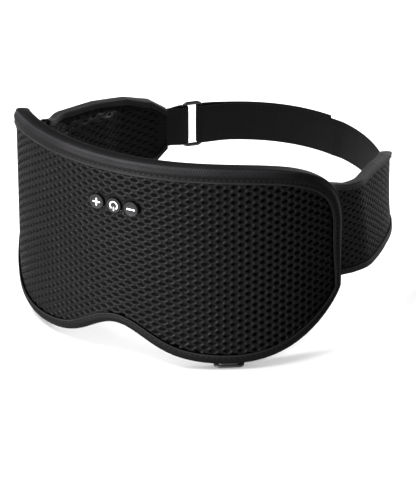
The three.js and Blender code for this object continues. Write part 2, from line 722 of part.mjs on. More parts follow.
// Room between a wing's two cloths: for the harness, then the speaker, then the strap.
function wingRoom(s, z) {
  const a = Math.abs(s);
  const reach = SPEAKER_SIZE / 2 + 2;
  const opened = smooth(MASK_HALF_LENGTH + 4, speakerPlace - reach, a);
  const closed = smooth(speakerPlace + reach, speakerPlace + reach + SPEAKER_FADE, a);
  const thin = mix(tuckRoom, seamRoom, smooth(MASK_HALF_LENGTH + 4, speakerPlace, a));
  const hemEnd = wingTop(s) - WING_HEM - 1.5;
  const high = smooth(Math.min(SPEAKER_LEVEL + reach, hemEnd - 2), hemEnd, z);
  return mix(thin, speakerRoom, opened * (1 - closed) * (1 - high));
}

const wingInner = (s, z) => wingOuter(s, z) - WING_CLOTH - wingRoom(s, z);

// A hem folded over a wing's edge; up is 1 for the top edge and -1 for the bottom edge.
function hem(stations, edge, up) {
  const rings = stations.map((s) => {
    const web = edge(s) + up * GAP;
    const outside = web + up * WING_HEM_THICK;
    const end = edge(s) - up * WING_HEM;
    const outer = (z, lift) => bandPoint(s, z, wingOuter(s, z) + lift);
    const inner = (z, drop) => bandPoint(s, z, wingInner(s, z) - WING_CLOTH - drop);
    const over = GAP + WING_HEM_THICK;
    return [
      outer(outside, over), outer(end, over), outer(end, GAP), outer(web, GAP),
      inner(web, GAP), inner(end, GAP), inner(end, over), inner(outside, over),
    ];
  });
  return loft(rings);
}

function buildWings() {
  for (const [side, sign] of Object.entries(sides)) {
    const hems = spread(sign * (MASK_HALF_LENGTH + 1.6), sign * SEAM, 18);
    const cloth = [sign * (MASK_HALF_LENGTH - WING_TUCK), ...hems];
    const tucked = spread(MASK_HALF_LENGTH - WING_LINER_TUCK, MASK_HALF_LENGTH - 3, 3);
    const lining = [...tucked.map((a) => sign * a), ...hems];
    const rows = (low, high) => [...spread(low, high - WING_HEM - 1.5, 6), high];
    add(`${side}_wing_mesh`, sheet(cloth, wingTop, wingBottom, wingOuter,
      (s, z) => wingOuter(s, z) - WING_CLOTH), meshFabric);
    add(`${side}_wing_liner`, sheet(lining, wingTop, wingBottom, wingInner,
      (s, z) => wingInner(s, z) - WING_CLOTH, rows), liningFabric);
    add(`${side}_wing_top_hem`, hem(hems, wingTop, 1), bindingFabric);
    add(`${side}_wing_bottom_hem`, hem(hems, wingBottom, -1), bindingFabric);
  }
}

// ---------------------------------------------------------------- speakers

function buildSpeakers() {
  const front = speakerStandoff;
  const radius = SPEAKER_SIZE / 2;
  const shelf = front + 1.9;
  const flange = shelf + 0.7;
  const back = front + SPEAKER_THICK;
  const basket = turned([[radius - 1.2, front], [radius, front], [radius, flange], [5.5, flange],
    [5.5, shelf], [radius - 1.2, shelf], [radius - 1.2, front]]);
  const cone = turned([[0, front + 0.6], [4.4, front + 1], [radius - 1.6, front + 0.4],
    [radius - 1.6, front + 0.8], [4.5, front + 1.4], [4.5, front + 2.4], [4, front + 2.4],
    [4, front + 1.4], [0, front + 1]], 20);
  const magnet = turned([[0, flange + GAP], [7.5, flange + GAP], [7.5, back - 0.3],
    [7.2, back], [0, back]], 20);
  for (const [side, sign] of Object.entries(sides)) {
    const s = sign * speakerPlace;
    const place = bandGroup(s, SPEAKER_LEVEL, wingOuter(s, SPEAKER_LEVEL) - WING_CLOTH);
    const tilt = new THREE.Group();
    tilt.rotation.x = -Math.atan(leanAt(s));
    place.add(tilt);
    assembly.add(place);
    add(`${side}_speaker_frame`, basket.clone(), blackPlastic, tilt);
    add(`${side}_speaker_cone`, cone.clone(), conePaper, tilt);
    add(`${side}_speaker_magnet`, magnet.clone(), steel, tilt);
  }
}

// ---------------------------------------------------------------- wires

// Each route holds [distance along the band, height, depth] for the +X side.
function buildWires() {
  const start = caseHalf + 1;
  const between = (a) => [a, HARNESS_LEVEL - 1.5, BINDING_IN - GAP - WING_CLOTH - tuckRoom / 2];
  const middle = (a, z) => [a, z, wingOuter(a, z) - WING_CLOTH - wingRoom(a, z) / 2];
  const speakerEdge = speakerPlace - SPEAKER_SIZE / 2;
  const harness = [
    [start, 39, WIRE_DEPTH], [30, 41, WIRE_DEPTH], [harnessExit - 37, 42, WIRE_DEPTH],
    [harnessExit - 15, 38, WIRE_DEPTH], [harnessExit - 6, 24, WIRE_DEPTH],
    [harnessExit - 1.4, 14, WIRE_DEPTH],
    [harnessExit, HARNESS_LEVEL, (LINER_OUT + LINER_IN) / 2], [harnessExit + 1.2, 11, -7.8],
    between(harnessExit + 4), between(MASK_HALF_LENGTH),
    ...spread(MASK_HALF_LENGTH + 5, speakerEdge - 1, 4).map((a) => middle(a, 8)),
  ];
  const filmTop = FILM_LEVEL + filmHalf(filmStart + 5);
  const filmLead = [
    [start, filmTop + 6, WIRE_DEPTH], [start + 2.5, filmTop + 6, WIRE_DEPTH],
    [filmStart + 3, filmTop + 4, WIRE_DEPTH], [filmStart + 5, filmTop + 2 * GAP, WIRE_DEPTH],
  ];
  const motorLead = [
    [start, 35.5, WIRE_DEPTH], [30, 37, WIRE_DEPTH], [motorPlace - 24, 37, WIRE_DEPTH],
    [motorPlace - 6, 30, WIRE_DEPTH], [motorPlace, 18, WIRE_DEPTH],
    [motorPlace, MOTOR_LEVEL + MOTOR_SIZE / 2 + GAP, WIRE_DEPTH],
  ];
  for (const [side, sign] of Object.entries(sides)) {
    const mirrored = (route) => route.map(([s, z, depth]) => [sign * s, z, depth]);
    add(`${side}_speaker_harness`, wire(mirrored(harness)), wireJacket);
    add(`${side}_film_lead`, wire(mirrored(filmLead)), wireJacket);
    add(`${side}_motor_lead`, wire(mirrored(motorLead)), wireJacket);
  }
  const boardTop = portBottom + boardBottom + CHARGE_BOARD.height;
  const underFilm = FILM_LEVEL - FILM_HALF_HEIGHT - 3.3;
  const chargeLead = [
    [portPlace, boardTop + GAP, socketDepth], [portPlace - 1, boardTop + 1.5, socketDepth - 0.75],
    [portPlace - 3.5, boardTop + 2.5, WIRE_DEPTH], [portPlace - 10, underFilm, WIRE_DEPTH],
    [30, underFilm, WIRE_DEPTH],
    [19, -19, WIRE_DEPTH], [16.2, -12, WIRE_DEPTH], [15, -2, WIRE_DEPTH],
    [13, CASE_BOTTOM - 5, WIRE_DEPTH], [12, CASE_BOTTOM - GAP, WIRE_DEPTH],
  ];
  add('charge_lead', wire(chargeLead), wireJacket);
}

// ---------------------------------------------------------------- strap and ring

const nearBar = SEAM + SHORT_STRAP;
const farBar = nearBar + RING_SLOT + RING_BAR;
const foldRadius = RING_BAR / 2 + RING_CLEAR + STRAP_THICK / 2;
const layerStep = (STRAP_THICK + GAP) / 2;

// A strap of even height that follows [distance, depth] points on the -X side.
function ribbon(points, thick = STRAP_THICK, height = STRAP_HEIGHT) {
  const path = points.map(([a, depth]) => bandPoint(-a, 0, depth));
  const rings = path.map((point, i) => {
    const before = path[Math.max(0, i - 1)];
    const after = path[Math.min(path.length - 1, i + 1)];
    const run = new THREE.Vector3().subVectors(after, before).normalize();
    const side = new THREE.Vector3(run.y, -run.x, 0).multiplyScalar(thick / 2);
    return [[1, -1], [1, 1], [-1, 1], [-1, -1]].map(([across, up]) => (
      point.clone().addScaledVector(side, across).setZ((up * height) / 2)));
  });
  return loft(rings);
}

// Points round a bar of the ring; the angles run from the outside of the band (90 degrees).
function roundBar(a, from, to) {
  return spread(from, to, 14).map((degrees) => {
    const angle = THREE.MathUtils.degToRad(degrees);
    return [a + foldRadius * Math.cos(angle), strapMiddle + foldRadius * Math.sin(angle)];
  });
}

function easedRun(from, to, startDepth, endDepth, settle, steps) {
  return spread(from, to, steps).map((a) => (
    [a, mix(startDepth, endDepth, smooth(from, from + settle, a))]));
}

function buildStraps() {
  const end = SEAM - SEAM_LAP;
  const bend = SHORT_STRAP - 2;
  const layer = (sign) => spread(end, nearBar - 0.2, 12).map((a) => {
    const lift = mix(layerStep, foldRadius, smooth(nearBar - bend, nearBar - 1, a));
    return [a, strapMiddle + sign * lift];
  });
  const shortPath = [...layer(1), ...roundBar(nearBar, 90, -90), ...layer(-1).reverse()];
  add('short_strap', ribbon(shortPath), elastic);

  const settle = 16;
  const patchStart = farBar + settle + 2;
  const patchEnd = patchStart + HOOK_LENGTH;
  const tailDepth = strapMiddle + layerStep + HOOK_THICK + GAP;
  const strapDepth = strapMiddle - layerStep;
  const tailRun = easedRun(farBar + GAP / 2, farBar + TAIL_LENGTH, strapMiddle + foldRadius,
    tailDepth, settle, 24);
  add('strap_tail', ribbon(tailRun), elastic);
  const patchDepth = strapDepth + STRAP_THICK / 2 + GAP + HOOK_THICK / 2;
  add('hook_patch', ribbon(spread(patchStart, patchEnd, 12).map((a) => [a, patchDepth]),
    HOOK_THICK, STRAP_HEIGHT - 2), bindingFabric);
  add('strap_fold', ribbon(roundBar(farBar - GAP / 2, 90, 270)), elastic);

  const joined = 2 * HALF_LOOP - end;
  const underTail = easedRun(farBar + GAP / 2, farBar + TAIL_LENGTH + 4, strapMiddle - foldRadius,
    strapDepth, settle, 24);
  const rest = spread(farBar + TAIL_LENGTH + 10, joined, 24).map((a) => [a, strapMiddle]);
  add('main_strap', ribbon([...underTail, ...rest]), elastic);
}

function buildRing() {
  const place = bandGroup(-(nearBar + farBar) / 2, 0, strapMiddle);
  assembly.add(place);
  const height = STRAP_HEIGHT + 2 * GAP + RING_BAR;
  const loop = roundedOutline(farBar - nearBar, height, 2.4, 4).map((p) => [p.x, p.y]);
  const section = () => range(10).map((i) => [
    (RING_BAR / 2) * Math.cos((i * Math.PI) / 5),
    (RING_BAR / 2) * Math.sin((i * Math.PI) / 5),
  ]);
  const flat = (x, z, depth) => new THREE.Vector3(x, -depth, z);
  add('strap_ring', rim(loop, section, flat), ringPlastic, place);
}

buildCover();
buildBinding();
buildFoam();
buildLiner();
buildEyePads();
buildFilms();
buildCase();
buildButtons();
buildMotors();
buildPort();
buildWings();
buildSpeakers();
buildWires();
buildStraps();
buildRing();

export default assembly;
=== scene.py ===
import math

import bpy
import numpy as np
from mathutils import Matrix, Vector


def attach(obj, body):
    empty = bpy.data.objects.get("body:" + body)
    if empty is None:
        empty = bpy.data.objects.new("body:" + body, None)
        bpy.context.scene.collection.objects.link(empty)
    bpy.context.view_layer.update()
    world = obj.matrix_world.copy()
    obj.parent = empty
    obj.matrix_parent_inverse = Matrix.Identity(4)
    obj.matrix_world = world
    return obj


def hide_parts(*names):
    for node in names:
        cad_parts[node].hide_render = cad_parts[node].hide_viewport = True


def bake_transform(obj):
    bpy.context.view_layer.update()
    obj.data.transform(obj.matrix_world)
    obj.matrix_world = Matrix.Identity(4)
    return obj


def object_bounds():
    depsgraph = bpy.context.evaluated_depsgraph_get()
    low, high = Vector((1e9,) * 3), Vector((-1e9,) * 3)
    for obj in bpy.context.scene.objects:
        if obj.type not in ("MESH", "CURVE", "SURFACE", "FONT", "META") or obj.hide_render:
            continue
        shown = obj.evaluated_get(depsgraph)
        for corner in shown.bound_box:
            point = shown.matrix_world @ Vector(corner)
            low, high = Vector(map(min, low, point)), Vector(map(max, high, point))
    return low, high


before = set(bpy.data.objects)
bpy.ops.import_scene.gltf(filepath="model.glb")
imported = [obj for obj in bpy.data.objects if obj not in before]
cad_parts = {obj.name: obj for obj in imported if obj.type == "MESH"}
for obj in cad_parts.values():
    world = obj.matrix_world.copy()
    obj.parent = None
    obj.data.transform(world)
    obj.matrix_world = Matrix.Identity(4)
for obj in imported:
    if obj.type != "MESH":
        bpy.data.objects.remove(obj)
cad_box = [[float(v) for v in corner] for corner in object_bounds()]
MM = 0.001


# ---------------- camera, floor and light

# The camera's place and lens were fitted to the photograph: metres, degrees and millimetres of film.
AIM = Vector((0.00667, 0.0, -0.0199))
CAMERA_DISTANCE, CAMERA_AZIMUTH, CAMERA_ELEVATION = 1.44, 28.65, 25.96
FOCAL_LENGTH, SENSOR_WIDTH = 218.3, 36
FLOOR_REACH, FLOOR_GAP, FLOOR_ALBEDO = 3, 0.0006, 0.93
SKY_STRENGTH = 0.56
# Round lights: azimuth and elevation in degrees, distance and diameter in metres, watts.
LIGHTS = {"key": (-20, 0, 1.3, 0.16, 190), "top": (-48, 66, 1.0, 0.5, 9), "back": (172, 28, 1.2, 0.5, 14)}


def direction(azimuth, elevation):
    """The way from the object towards a point of the sky, angles in degrees, azimuth 0 being -Y."""
    a, e = math.radians(azimuth), math.radians(elevation)
    return Vector((math.sin(a) * math.cos(e), -math.cos(a) * math.cos(e), math.sin(e)))


def station(obj, azimuth, elevation, distance):
    """Links a camera or a light to the scene, at a distance from AIM and looking at it."""
    bpy.context.scene.collection.objects.link(obj)
    back = direction(azimuth, elevation)
    obj.location = AIM + distance * back
    obj.rotation_euler = (-back).to_track_quat("-Z", "Y").to_euler()


camera_data = bpy.data.cameras.new("camera")
camera_data.lens, camera_data.sensor_width = FOCAL_LENGTH, SENSOR_WIDTH
camera = bpy.data.objects.new("camera", camera_data)
station(camera, CAMERA_AZIMUTH, CAMERA_ELEVATION, CAMERA_DISTANCE)
bpy.context.scene.camera = camera

floor_level = cad_box[0][2] - FLOOR_GAP
floor_corners = [(x * FLOOR_REACH, y * FLOOR_REACH, floor_level)
                 for x, y in ((-1, -1), (1, -1), (1, 1), (-1, 1))]
floor_mesh = bpy.data.meshes.new("floor")
floor_mesh.from_pydata(floor_corners, [], [(0, 1, 2, 3)])
floor = bpy.data.objects.new("floor", floor_mesh)
bpy.context.scene.collection.objects.link(floor)
floor_paint = bpy.data.materials.new("studio_floor")
floor_paint.use_nodes = True
floor_shader = floor_paint.node_tree.nodes["Principled BSDF"]
floor_shader.inputs["Base Color"].default_value = (FLOOR_ALBEDO, FLOOR_ALBEDO, FLOOR_ALBEDO, 1)
floor_shader.inputs["Roughness"].default_value = 0.95
floor_mesh.materials.append(floor_paint)

world = bpy.data.worlds.new("studio")
world.use_nodes = True
world.node_tree.nodes["Background"].inputs["Color"].default_value = (1, 1, 1, 1)
world.node_tree.nodes["Background"].inputs["Strength"].default_value = SKY_STRENGTH
bpy.context.scene.world = world
bpy.context.scene.view_settings.view_transform = "Standard"
for name, (azimuth, elevation, distance, diameter, watts) in LIGHTS.items():
    light_data = bpy.data.lights.new(name, "AREA")
    light_data.shape, light_data.size, light_data.energy = "DISK", diameter, watts
    station(bpy.data.objects.new(name, light_data), azimuth, elevation, distance)


# ---------------- the band's own coordinates

# The band's outer face at the nose's level: half an ellipse in front and a longer half behind, in mm.
HALF_WIDTH, FRONT_REACH, REAR_REACH = 86.1, 75.2, 113.1
LOOP_STEPS = 7200


def ellipse_table():
    """Lengths along the band's outer face from the nose, round to the back, against the ellipse's own angle."""
    theta = np.linspace(0, np.pi, LOOP_STEPS + 1)
    reach = np.where(np.cos(theta) > 0, FRONT_REACH, REAR_REACH)
    step = np.hypot(np.diff(HALF_WIDTH * np.sin(theta)), np.diff(-reach * np.cos(theta)))
    return theta, np.concatenate([[0], np.cumsum(step)])


THETA, LENGTHS = ellipse_table()
HALF_LOOP = LENGTHS[-1]


def band(s, z, depth):
    """Points in metres from mm along the band (from the nose, + towards +X), height and depth (+ outward)."""
    s, z, depth = np.broadcast_arrays(np.asarray(s, float), np.asarray(z, float), np.asarray(depth, float))
    wrapped = (s + HALF_LOOP) % (2 * HALF_LOOP) - HALF_LOOP
    side = np.where(wrapped < 0, -1.0, 1.0)
    theta = np.interp(np.abs(wrapped), LENGTHS, THETA)
    reach = np.where(np.cos(theta) > 0, FRONT_REACH, REAR_REACH)
    heading = np.arctan2(reach * np.sin(theta), HALF_WIDTH * np.cos(theta))
    x = side * (HALF_WIDTH * np.sin(theta) + depth * np.sin(heading))
    y = -reach * np.cos(theta) - depth * np.cos(heading)
    return np.stack([x, y, z], -1) * MM


def heading_at(s):
    """The band's heading at s: 0 at the nose, growing towards +X."""
    a, b = band(s - 0.05, 0, 0), band(s + 0.05, 0, 0)
    return math.atan2(b[1] - a[1], b[0] - a[0])


def smooth(low, high, value):
    t = np.clip((np.asarray(value, float) - low) / (high - low), 0, 1)
    return t * t * (3 - 2 * t)


def mix(a, b, share):
    return a + (b - a) * share


# ---------------- meshes

CREASE = 40


def solid(name, points, faces, attributes=None, creased=False, caps=()):
    """A closed mesh from points in metres and four-cornered faces, turned outwards and shaded smooth.
    Caps are flat faces with any number of corners; a creased mesh keeps its edges sharp from CREASE degrees."""
    points, faces = np.asarray(points, float).reshape(-1, 3), np.asarray(faces)
    a, b, c, d = (points[faces[:, k]] - points.mean(0) for k in range(4))
    twist = np.einsum("ij,ij->i", a, np.cross(b, c)) + np.einsum("ij,ij->i", a, np.cross(c, d))
    turn = -1 if twist.sum() < 0 else 1
    mesh = bpy.data.meshes.new(name)
    mesh.from_pydata(points.tolist(), [], faces[:, ::turn].tolist() + [list(cap)[::turn] for cap in caps])
    mesh.polygons.foreach_set("use_smooth", np.arange(len(mesh.polygons)) < len(faces))
    for label, values in (attributes or {}).items():
        data = mesh.attributes.new(label, "FLOAT", "POINT").data
        data.foreach_set("value", np.ascontiguousarray(np.ravel(values), dtype=np.float32))
    if creased:
        mesh.set_sharp_from_angle(angle=math.radians(CREASE))
    obj = bpy.data.objects.new(name, mesh)
    bpy.context.scene.collection.objects.link(obj)
    return obj


def loft(name, rings, closed=False, attributes=None, creased=False):
    """Skins rings of points (stations x points x 3), with a flat cap on each end of an open loft."""
    count, size = rings.shape[:2]
    index = np.arange(count * size).reshape(count, size)
    here, there = (index, np.roll(index, -1, 0)) if closed else (index[:-1], index[1:])
    turned, onward = np.roll(here, -1, 1), np.roll(there, -1, 1)
    faces = np.stack([here, there, onward, turned], -1).reshape(-1, 4)
    caps = () if closed else (index[0].tolist(), index[-1][::-1].tolist())
    return solid(name, rings, faces, attributes, creased, caps)


def panel(name, s, z, outer, inner, seen_inside=False, coarse=1, **marks):
    """A cloth between two depths over a grid (stations x rows) of places in mm. Marks are attributes
    of the face that is seen, its outer or its inner one; the other has one row for every few."""
    steps = (coarse, 1) if seen_inside else (1, coarse)
    ring = [np.concatenate([side[:, ::steps[0]], other[:, ::-steps[1]]], 1)
            for side, other in ((s, s), (z, z), (outer, inner))]
    attributes = {"along": ring[0], "across": ring[1]}
    for label, values in marks.items():
        plain = np.zeros_like(values)[:, ::coarse]
        faces = (plain, values[:, ::-1]) if seen_inside else (values, plain)
        attributes[label] = np.concatenate(faces, 1)
    return loft(name, band(*ring), attributes=attributes)


def rounded_section(width, height, corner, per_corner=4, per_side=1):
    """A rounded rectangle as (across, up) points in mm, from the lower right corner upwards."""
    points = []
    for index, (sx, sz) in enumerate(((1, -1), (1, 1), (-1, 1), (-1, -1))):
        cx, cz = sx * (width / 2 - corner), sz * (height / 2 - corner)
        for turn in np.linspace(-90, 0, per_corner + 1) + 90 * index:
            angle = math.radians(turn)
            points.append((cx + corner * math.cos(angle), cz + corner * math.sin(angle)))
    points = np.array(points)
    if per_side == 1:
        return points
    spaced = []
    for p, q in zip(points, np.roll(points, -1, 0)):
        steps = max(1, round(float(np.hypot(*(q - p))) / (height / per_side)))
        spaced += [p + (q - p) * k / steps for k in range(steps)]
    return np.array(spaced if len(spaced) % 2 == 0 else spaced[:-1])


def place(obj, body, slot, *nodes):
    """obj rides on a body and stands for the named CAD nodes, which it hides; slot is not used."""
    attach(obj, body)
    if nodes:
        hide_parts(*nodes)
    return obj


# ---------------- materials

class Paint:
    """A procedural material on one Principled shader."""

    def __init__(self, name, roughness=0.6, specular=0.5, metallic=0.0, sheen=0.0, sheen_roughness=0.5,
                 coat=0.0):
        self.material = bpy.data.materials.new(name)
        self.material.use_nodes = True
        self.tree = self.material.node_tree
        self.shader = self.tree.nodes["Principled BSDF"]
        self.put(self.shader, {"Roughness": roughness, "Specular IOR Level": specular, "Metallic": metallic,
                               "Sheen Weight": sheen, "Sheen Roughness": sheen_roughness,
                               "Coat Weight": coat})

    def put(self, node, values):
        for key, value in values.items():
            if isinstance(value, bpy.types.NodeSocket):
                self.tree.links.new(value, node.inputs[key])
            else:
                node.inputs[key].default_value = value

    def node(self, kind, values=None, out=0, **settings):
        node = self.tree.nodes.new(kind)
        for key, value in settings.items():
            setattr(node, key, value)
        self.put(node, values or {})
        return node.outputs[out]

    def mark(self, name):
        """A vertex attribute as a number."""
        return self.node("ShaderNodeAttribute", out="Fac", attribute_name=name)

    def math(self, operation, a, b):
        return self.node("ShaderNodeMath", {0: a, 1: b}, operation=operation)

    def band_place(self, along, across):
        """Millimetres along and across the band, scaled, for a texture that follows the cloth."""
        return self.node("ShaderNodeCombineXYZ", {"X": self.math("MULTIPLY", self.mark("along"), along),
                                                  "Y": self.math("MULTIPLY", self.mark("across"), across)})

    def object_place(self, stretch=(1, 1, 1)):
        coordinates = self.node("ShaderNodeTexCoord", out="Object")
        return self.node("ShaderNodeMapping", {"Vector": coordinates, "Scale": stretch})

    def noise(self, scale, detail=2.0, place=None, roughness=0.5):
        return self.node("ShaderNodeTexNoise", {"Scale": scale, "Detail": detail, "Roughness": roughness,
                                                "Vector": place or self.object_place()})

    def wave(self, scale, place, direction, distortion=0.0, detail=0.0):
        return self.node("ShaderNodeTexWave",
                         {"Vector": place, "Scale": scale, "Distortion": distortion, "Detail": detail},
                         out="Fac", wave_type="BANDS", bands_direction=direction, wave_profile="SIN")

    def ramp(self, value, low, high, start=0.0, end=1.0):
        """Maps a number from start..end onto low..high."""
        return self.node("ShaderNodeMapRange", {"Value": value, "From Min": start, "From Max": end,
                                                "To Min": low, "To Max": high})

    def blend(self, share, a, b):
        return self.node("ShaderNodeMix", {0: share, 6: a, 7: b}, out=2, data_type="RGBA")

    def colour(self, value):
        self.put(self.shader, {"Base Color": value})
        return self

    def rough(self, value):
        self.put(self.shader, {"Roughness": value})
        return self

    def bump(self, height, distance, strength):
        """Relief from a height of 0 to 1, distance being its depth in mm."""
        normal = self.node("ShaderNodeBump", {"Height": height, "Distance": distance * MM,
                                              "Strength": strength})
        self.put(self.shader, {"Normal": normal})
        return self


def grey(level, warm=0.0):
    """An opaque near-grey: level is linear, warm tips it to purple."""
    return (level * (1 + warm), level, level * (1 + 1.4 * warm), 1)


# The wave texture's scale that gives one wave to a millimetre of the band's coordinates.
WAVE_SCALE = 0.314


def net_paint(name, base, strand, hole_shade):
    """Knitted spacer net: holes in a near-black painted shade, fine yarns round them in a lighter colour that is
    partly their own tone and partly painted highlight, and loose fibres that break it up.
    """
    paint = Paint(name, roughness=0.72, specular=0.04, sheen_roughness=0.45)
    fibre = paint.noise(1.0, 3.0, paint.band_place(1.6, 6.5), roughness=0.6)
    patches = paint.noise(38.0, 2.0)
    # The yarns are painted lighter than the ground, partly as painted highlight.
    yarn = paint.blend(paint.ramp(fibre, 0, 1, 0.38, 0.66), base, strand)
    yarn = paint.blend(paint.mark("strand"), base, yarn)
    tinted = paint.blend(paint.ramp(patches, 0, 0.2, 0.35, 0.7), yarn, strand)
    # The holes take the last colour, a painted shade.
    paint.colour(paint.blend(paint.mark("pit"), tinted, hole_shade))
    paint.rough(paint.math("MAXIMUM", paint.ramp(paint.mark("strand"), 0.8, 0.38), paint.mark("pit")))
    return paint.bump(fibre, 0.10, 0.5).material


def twill_paint(name, base, light, pitch, strength, sheen):
    """Woven tape: fine steep ribs at a pitch in mm with a cross thread, a little uneven."""
    paint = Paint(name, roughness=0.7, specular=0.1, sheen=sheen, sheen_roughness=0.5)
    scale = WAVE_SCALE / pitch
    ribs = paint.wave(scale, paint.band_place(1, 0.45), "X", 0.6, 2.0)
    threads = paint.wave(scale, paint.band_place(1, 1), "Y", 0.4, 1.0)
    weave = paint.math("MULTIPLY", ribs, paint.ramp(threads, 0.55, 1.0))
    blotches = paint.ramp(paint.noise(60.0, 3.0), 0.35, 1.0, 0.3, 0.7)
    paint.colour(paint.blend(paint.math("MULTIPLY", weave, blotches), base, light))
    paint.rough(paint.ramp(weave, 0.82, 0.62))
    return paint.bump(weave, 0.1, strength).material


def tape_paint():
    """Binding tape: a dark ground, with painted highlights on the crests of its fine steep ribs and on its
    pressed edge, and lighter stitches; a noise makes the highlights patchy.
    """
    paint = Paint("edge_tape", roughness=0.5, specular=0.03)
    thread = paint.noise(1.0, 3.0, paint.band_place(3.0, 9.0), roughness=0.6)
    blotches = paint.noise(60.0, 3.0)
    # The light mark, made patchy by a noise, paints the highlights in a lighter colour.
    share = paint.math("MULTIPLY", paint.mark("light"), paint.ramp(blotches, 0.45, 1.0, 0.3, 0.7))
    ground = paint.blend(paint.ramp(thread, 0, 1, 0.4, 0.7), grey(0.0007, 0.04), grey(0.0018, 0.05))
    paint.colour(paint.blend(share, ground, grey(0.012, 0.06)))
    paint.rough(paint.ramp(share, 0.62, 0.42))
    return paint.bump(thread, 0.05, 0.6).material


def cloth_paint(name, base, light, scale, sheen, roughness=0.85, depth=0.06):
    """Soft brushed cloth with no direction of its own, for sewn and simulated pieces."""
    paint = Paint(name, roughness=roughness, specular=0.1, sheen=sheen, sheen_roughness=0.6)
    fine = paint.noise(scale, 3.0, roughness=0.65)
    broad = paint.noise(70.0, 2.0)
    share = paint.math("MULTIPLY", paint.ramp(fine, 0, 1, 0.35, 0.7), paint.ramp(broad, 0.5, 1.0, 0.3, 0.7))
    paint.colour(paint.blend(share, base, light))
    paint.rough(paint.ramp(fine, roughness + 0.08, roughness - 0.08))
    return paint.bump(fine, depth, 0.6).material


def moulded_paint(name, base, light, roughness, specular=0.5, grain=2600.0, depth=0.02, coat=0.0):
    """Moulded plastic or rubber with a fine spark-eroded grain and faint wear."""
    paint = Paint(name, roughness=roughness, specular=specular, coat=coat)
    grit = paint.noise(grain, 2.0)
    blotches = paint.noise(140.0, 4.0, roughness=0.7)
    paint.colour(paint.blend(paint.ramp(blotches, 0, 1, 0.4, 0.7), base, light))
    paint.rough(paint.ramp(blotches, roughness - 0.07, roughness + 0.09, 0.3, 0.7))
    return paint.bump(grit, depth, 0.5).material


def metal_paint(name, base, light, roughness, stretch=(1, 1, 12), depth=0.01):
    """Drawn or turned metal: streaks one way, and small changes of shine."""
    paint = Paint(name, roughness=roughness, metallic=1.0)
    streaks = paint.noise(900.0, 3.0, paint.object_place(stretch), roughness=0.6)
    stains = paint.noise(220.0, 2.0)
    paint.colour(paint.blend(paint.ramp(streaks, 0, 1, 0.35, 0.65), base, light))
    paint.rough(paint.ramp(stains, roughness - 0.08, roughness + 0.14, 0.3, 0.7))
    return paint.bump(streaks, depth, 0.4).material


def board_paint():
    """Solder mask over copper tracks, with pale pads."""
    paint = Paint("board_green", roughness=0.35, coat=0.4)
    cells = paint.node("ShaderNodeTexVoronoi", {"Vector": paint.object_place(), "Scale": 620.0},
                       out="Distance", distance="CHEBYCHEV")
    tracks = paint.node("ShaderNodeTexBrick", {"Vector": paint.object_place((1, 0.4, 1)), "Scale": 520.0,
                                               "Mortar Size": 0.09, "Color1": (0.012, 0.1, 0.045, 1),
                                               "Color2": (0.016, 0.13, 0.06, 1),
                                               "Mortar": (0.03, 0.2, 0.09, 1)}, out="Color")
    pads = paint.ramp(cells, 1, 0, 0.10, 0.14)
    paint.colour(paint.blend(pads, tracks, (0.5, 0.42, 0.22, 1)))
    paint.rough(paint.ramp(pads, 0.4, 0.22))
    return paint.bump(cells, 0.03, 0.5).material


def film_paint():
    """Heating film: copper meanders under a clear amber sheet."""
    paint = Paint("heating_film", roughness=0.28, coat=0.6)
    place = paint.object_place()
    meander = paint.wave(120.0, place, "Z", 3.0)
    cross = paint.wave(60.0, place, "X")
    line = paint.math("MULTIPLY", paint.ramp(meander, 0, 1, 0.55, 0.65), paint.ramp(cross, 0.6, 1.0))
    paint.colour(paint.blend(line, (0.16, 0.07, 0.012, 1), (0.55, 0.27, 0.09, 1)))
    paint.rough(paint.ramp(line, 0.35, 0.22))
    return paint.bump(line, 0.02, 0.6).material


# Base colours are darker than such cloths are: with the key light they give the photograph's deep blacks.
# In each net the last colour is a painted shade for the holes, and the yarn colour is partly a painted
# highlight, the cover's purple-grey tint included.
COVER_NET = net_paint("cover_net", grey(0.0006), grey(0.0024, 0.16), grey(0.0001))
WING_NET = net_paint("wing_net", grey(0.0046, 0.04), grey(0.0085, 0.05), grey(0.0005))
TAPE = tape_paint()
HEM = twill_paint("hem_tape", grey(0.0042), grey(0.0085), pitch=0.5, strength=0.5, sheen=0.03)
LINING = cloth_paint("lining_cloth", grey(0.0065), grey(0.014), 1800.0, sheen=0.06)
# The lining's slits take a painted shade, and its yarn colour is partly a painted highlight.
SLIT_LINING = net_paint("wing_lining", grey(0.0034), grey(0.0052), grey(0.0006))
PAD_CLOTH = cloth_paint("pad_velour", grey(0.013, 0.05), grey(0.028, 0.05), 1300.0, sheen=0.12, depth=0.09)
FOAM = cloth_paint("foam", grey(0.03), grey(0.07), 700.0, sheen=0.0, roughness=0.9, depth=0.2)
ELASTIC = twill_paint("elastic", grey(0.0028), grey(0.0052), pitch=0.7, strength=0.55, sheen=0.02)
HOOKS = cloth_paint("hook_tape", grey(0.0035), grey(0.009), 2200.0, sheen=0.03, roughness=0.6, depth=0.25)
THREAD = cloth_paint("thread", grey(0.007), grey(0.016), 2500.0, sheen=0.05, roughness=0.6)
RUBBER = moulded_paint("button_rubber", grey(0.0036, 0.06), grey(0.0052, 0.06), 0.6, specular=0.05)
GLYPH = moulded_paint("glyph_white", grey(0.40, 0.02), grey(0.34, 0.02), 0.5, specular=0.1)
PLASTIC = moulded_paint("black_plastic", grey(0.004), grey(0.007), 0.42, specular=0.3)
GLOSS = moulded_paint("ring_plastic", grey(0.002), grey(0.004), 0.16, grain=500.0, depth=0.004, coat=0.3)
BOARD = board_paint()
FOIL = metal_paint("battery_foil", grey(0.45), grey(0.6), 0.34, stretch=(1, 1, 1), depth=0.03)
STEEL = metal_paint("steel", grey(0.38), grey(0.5), 0.28)
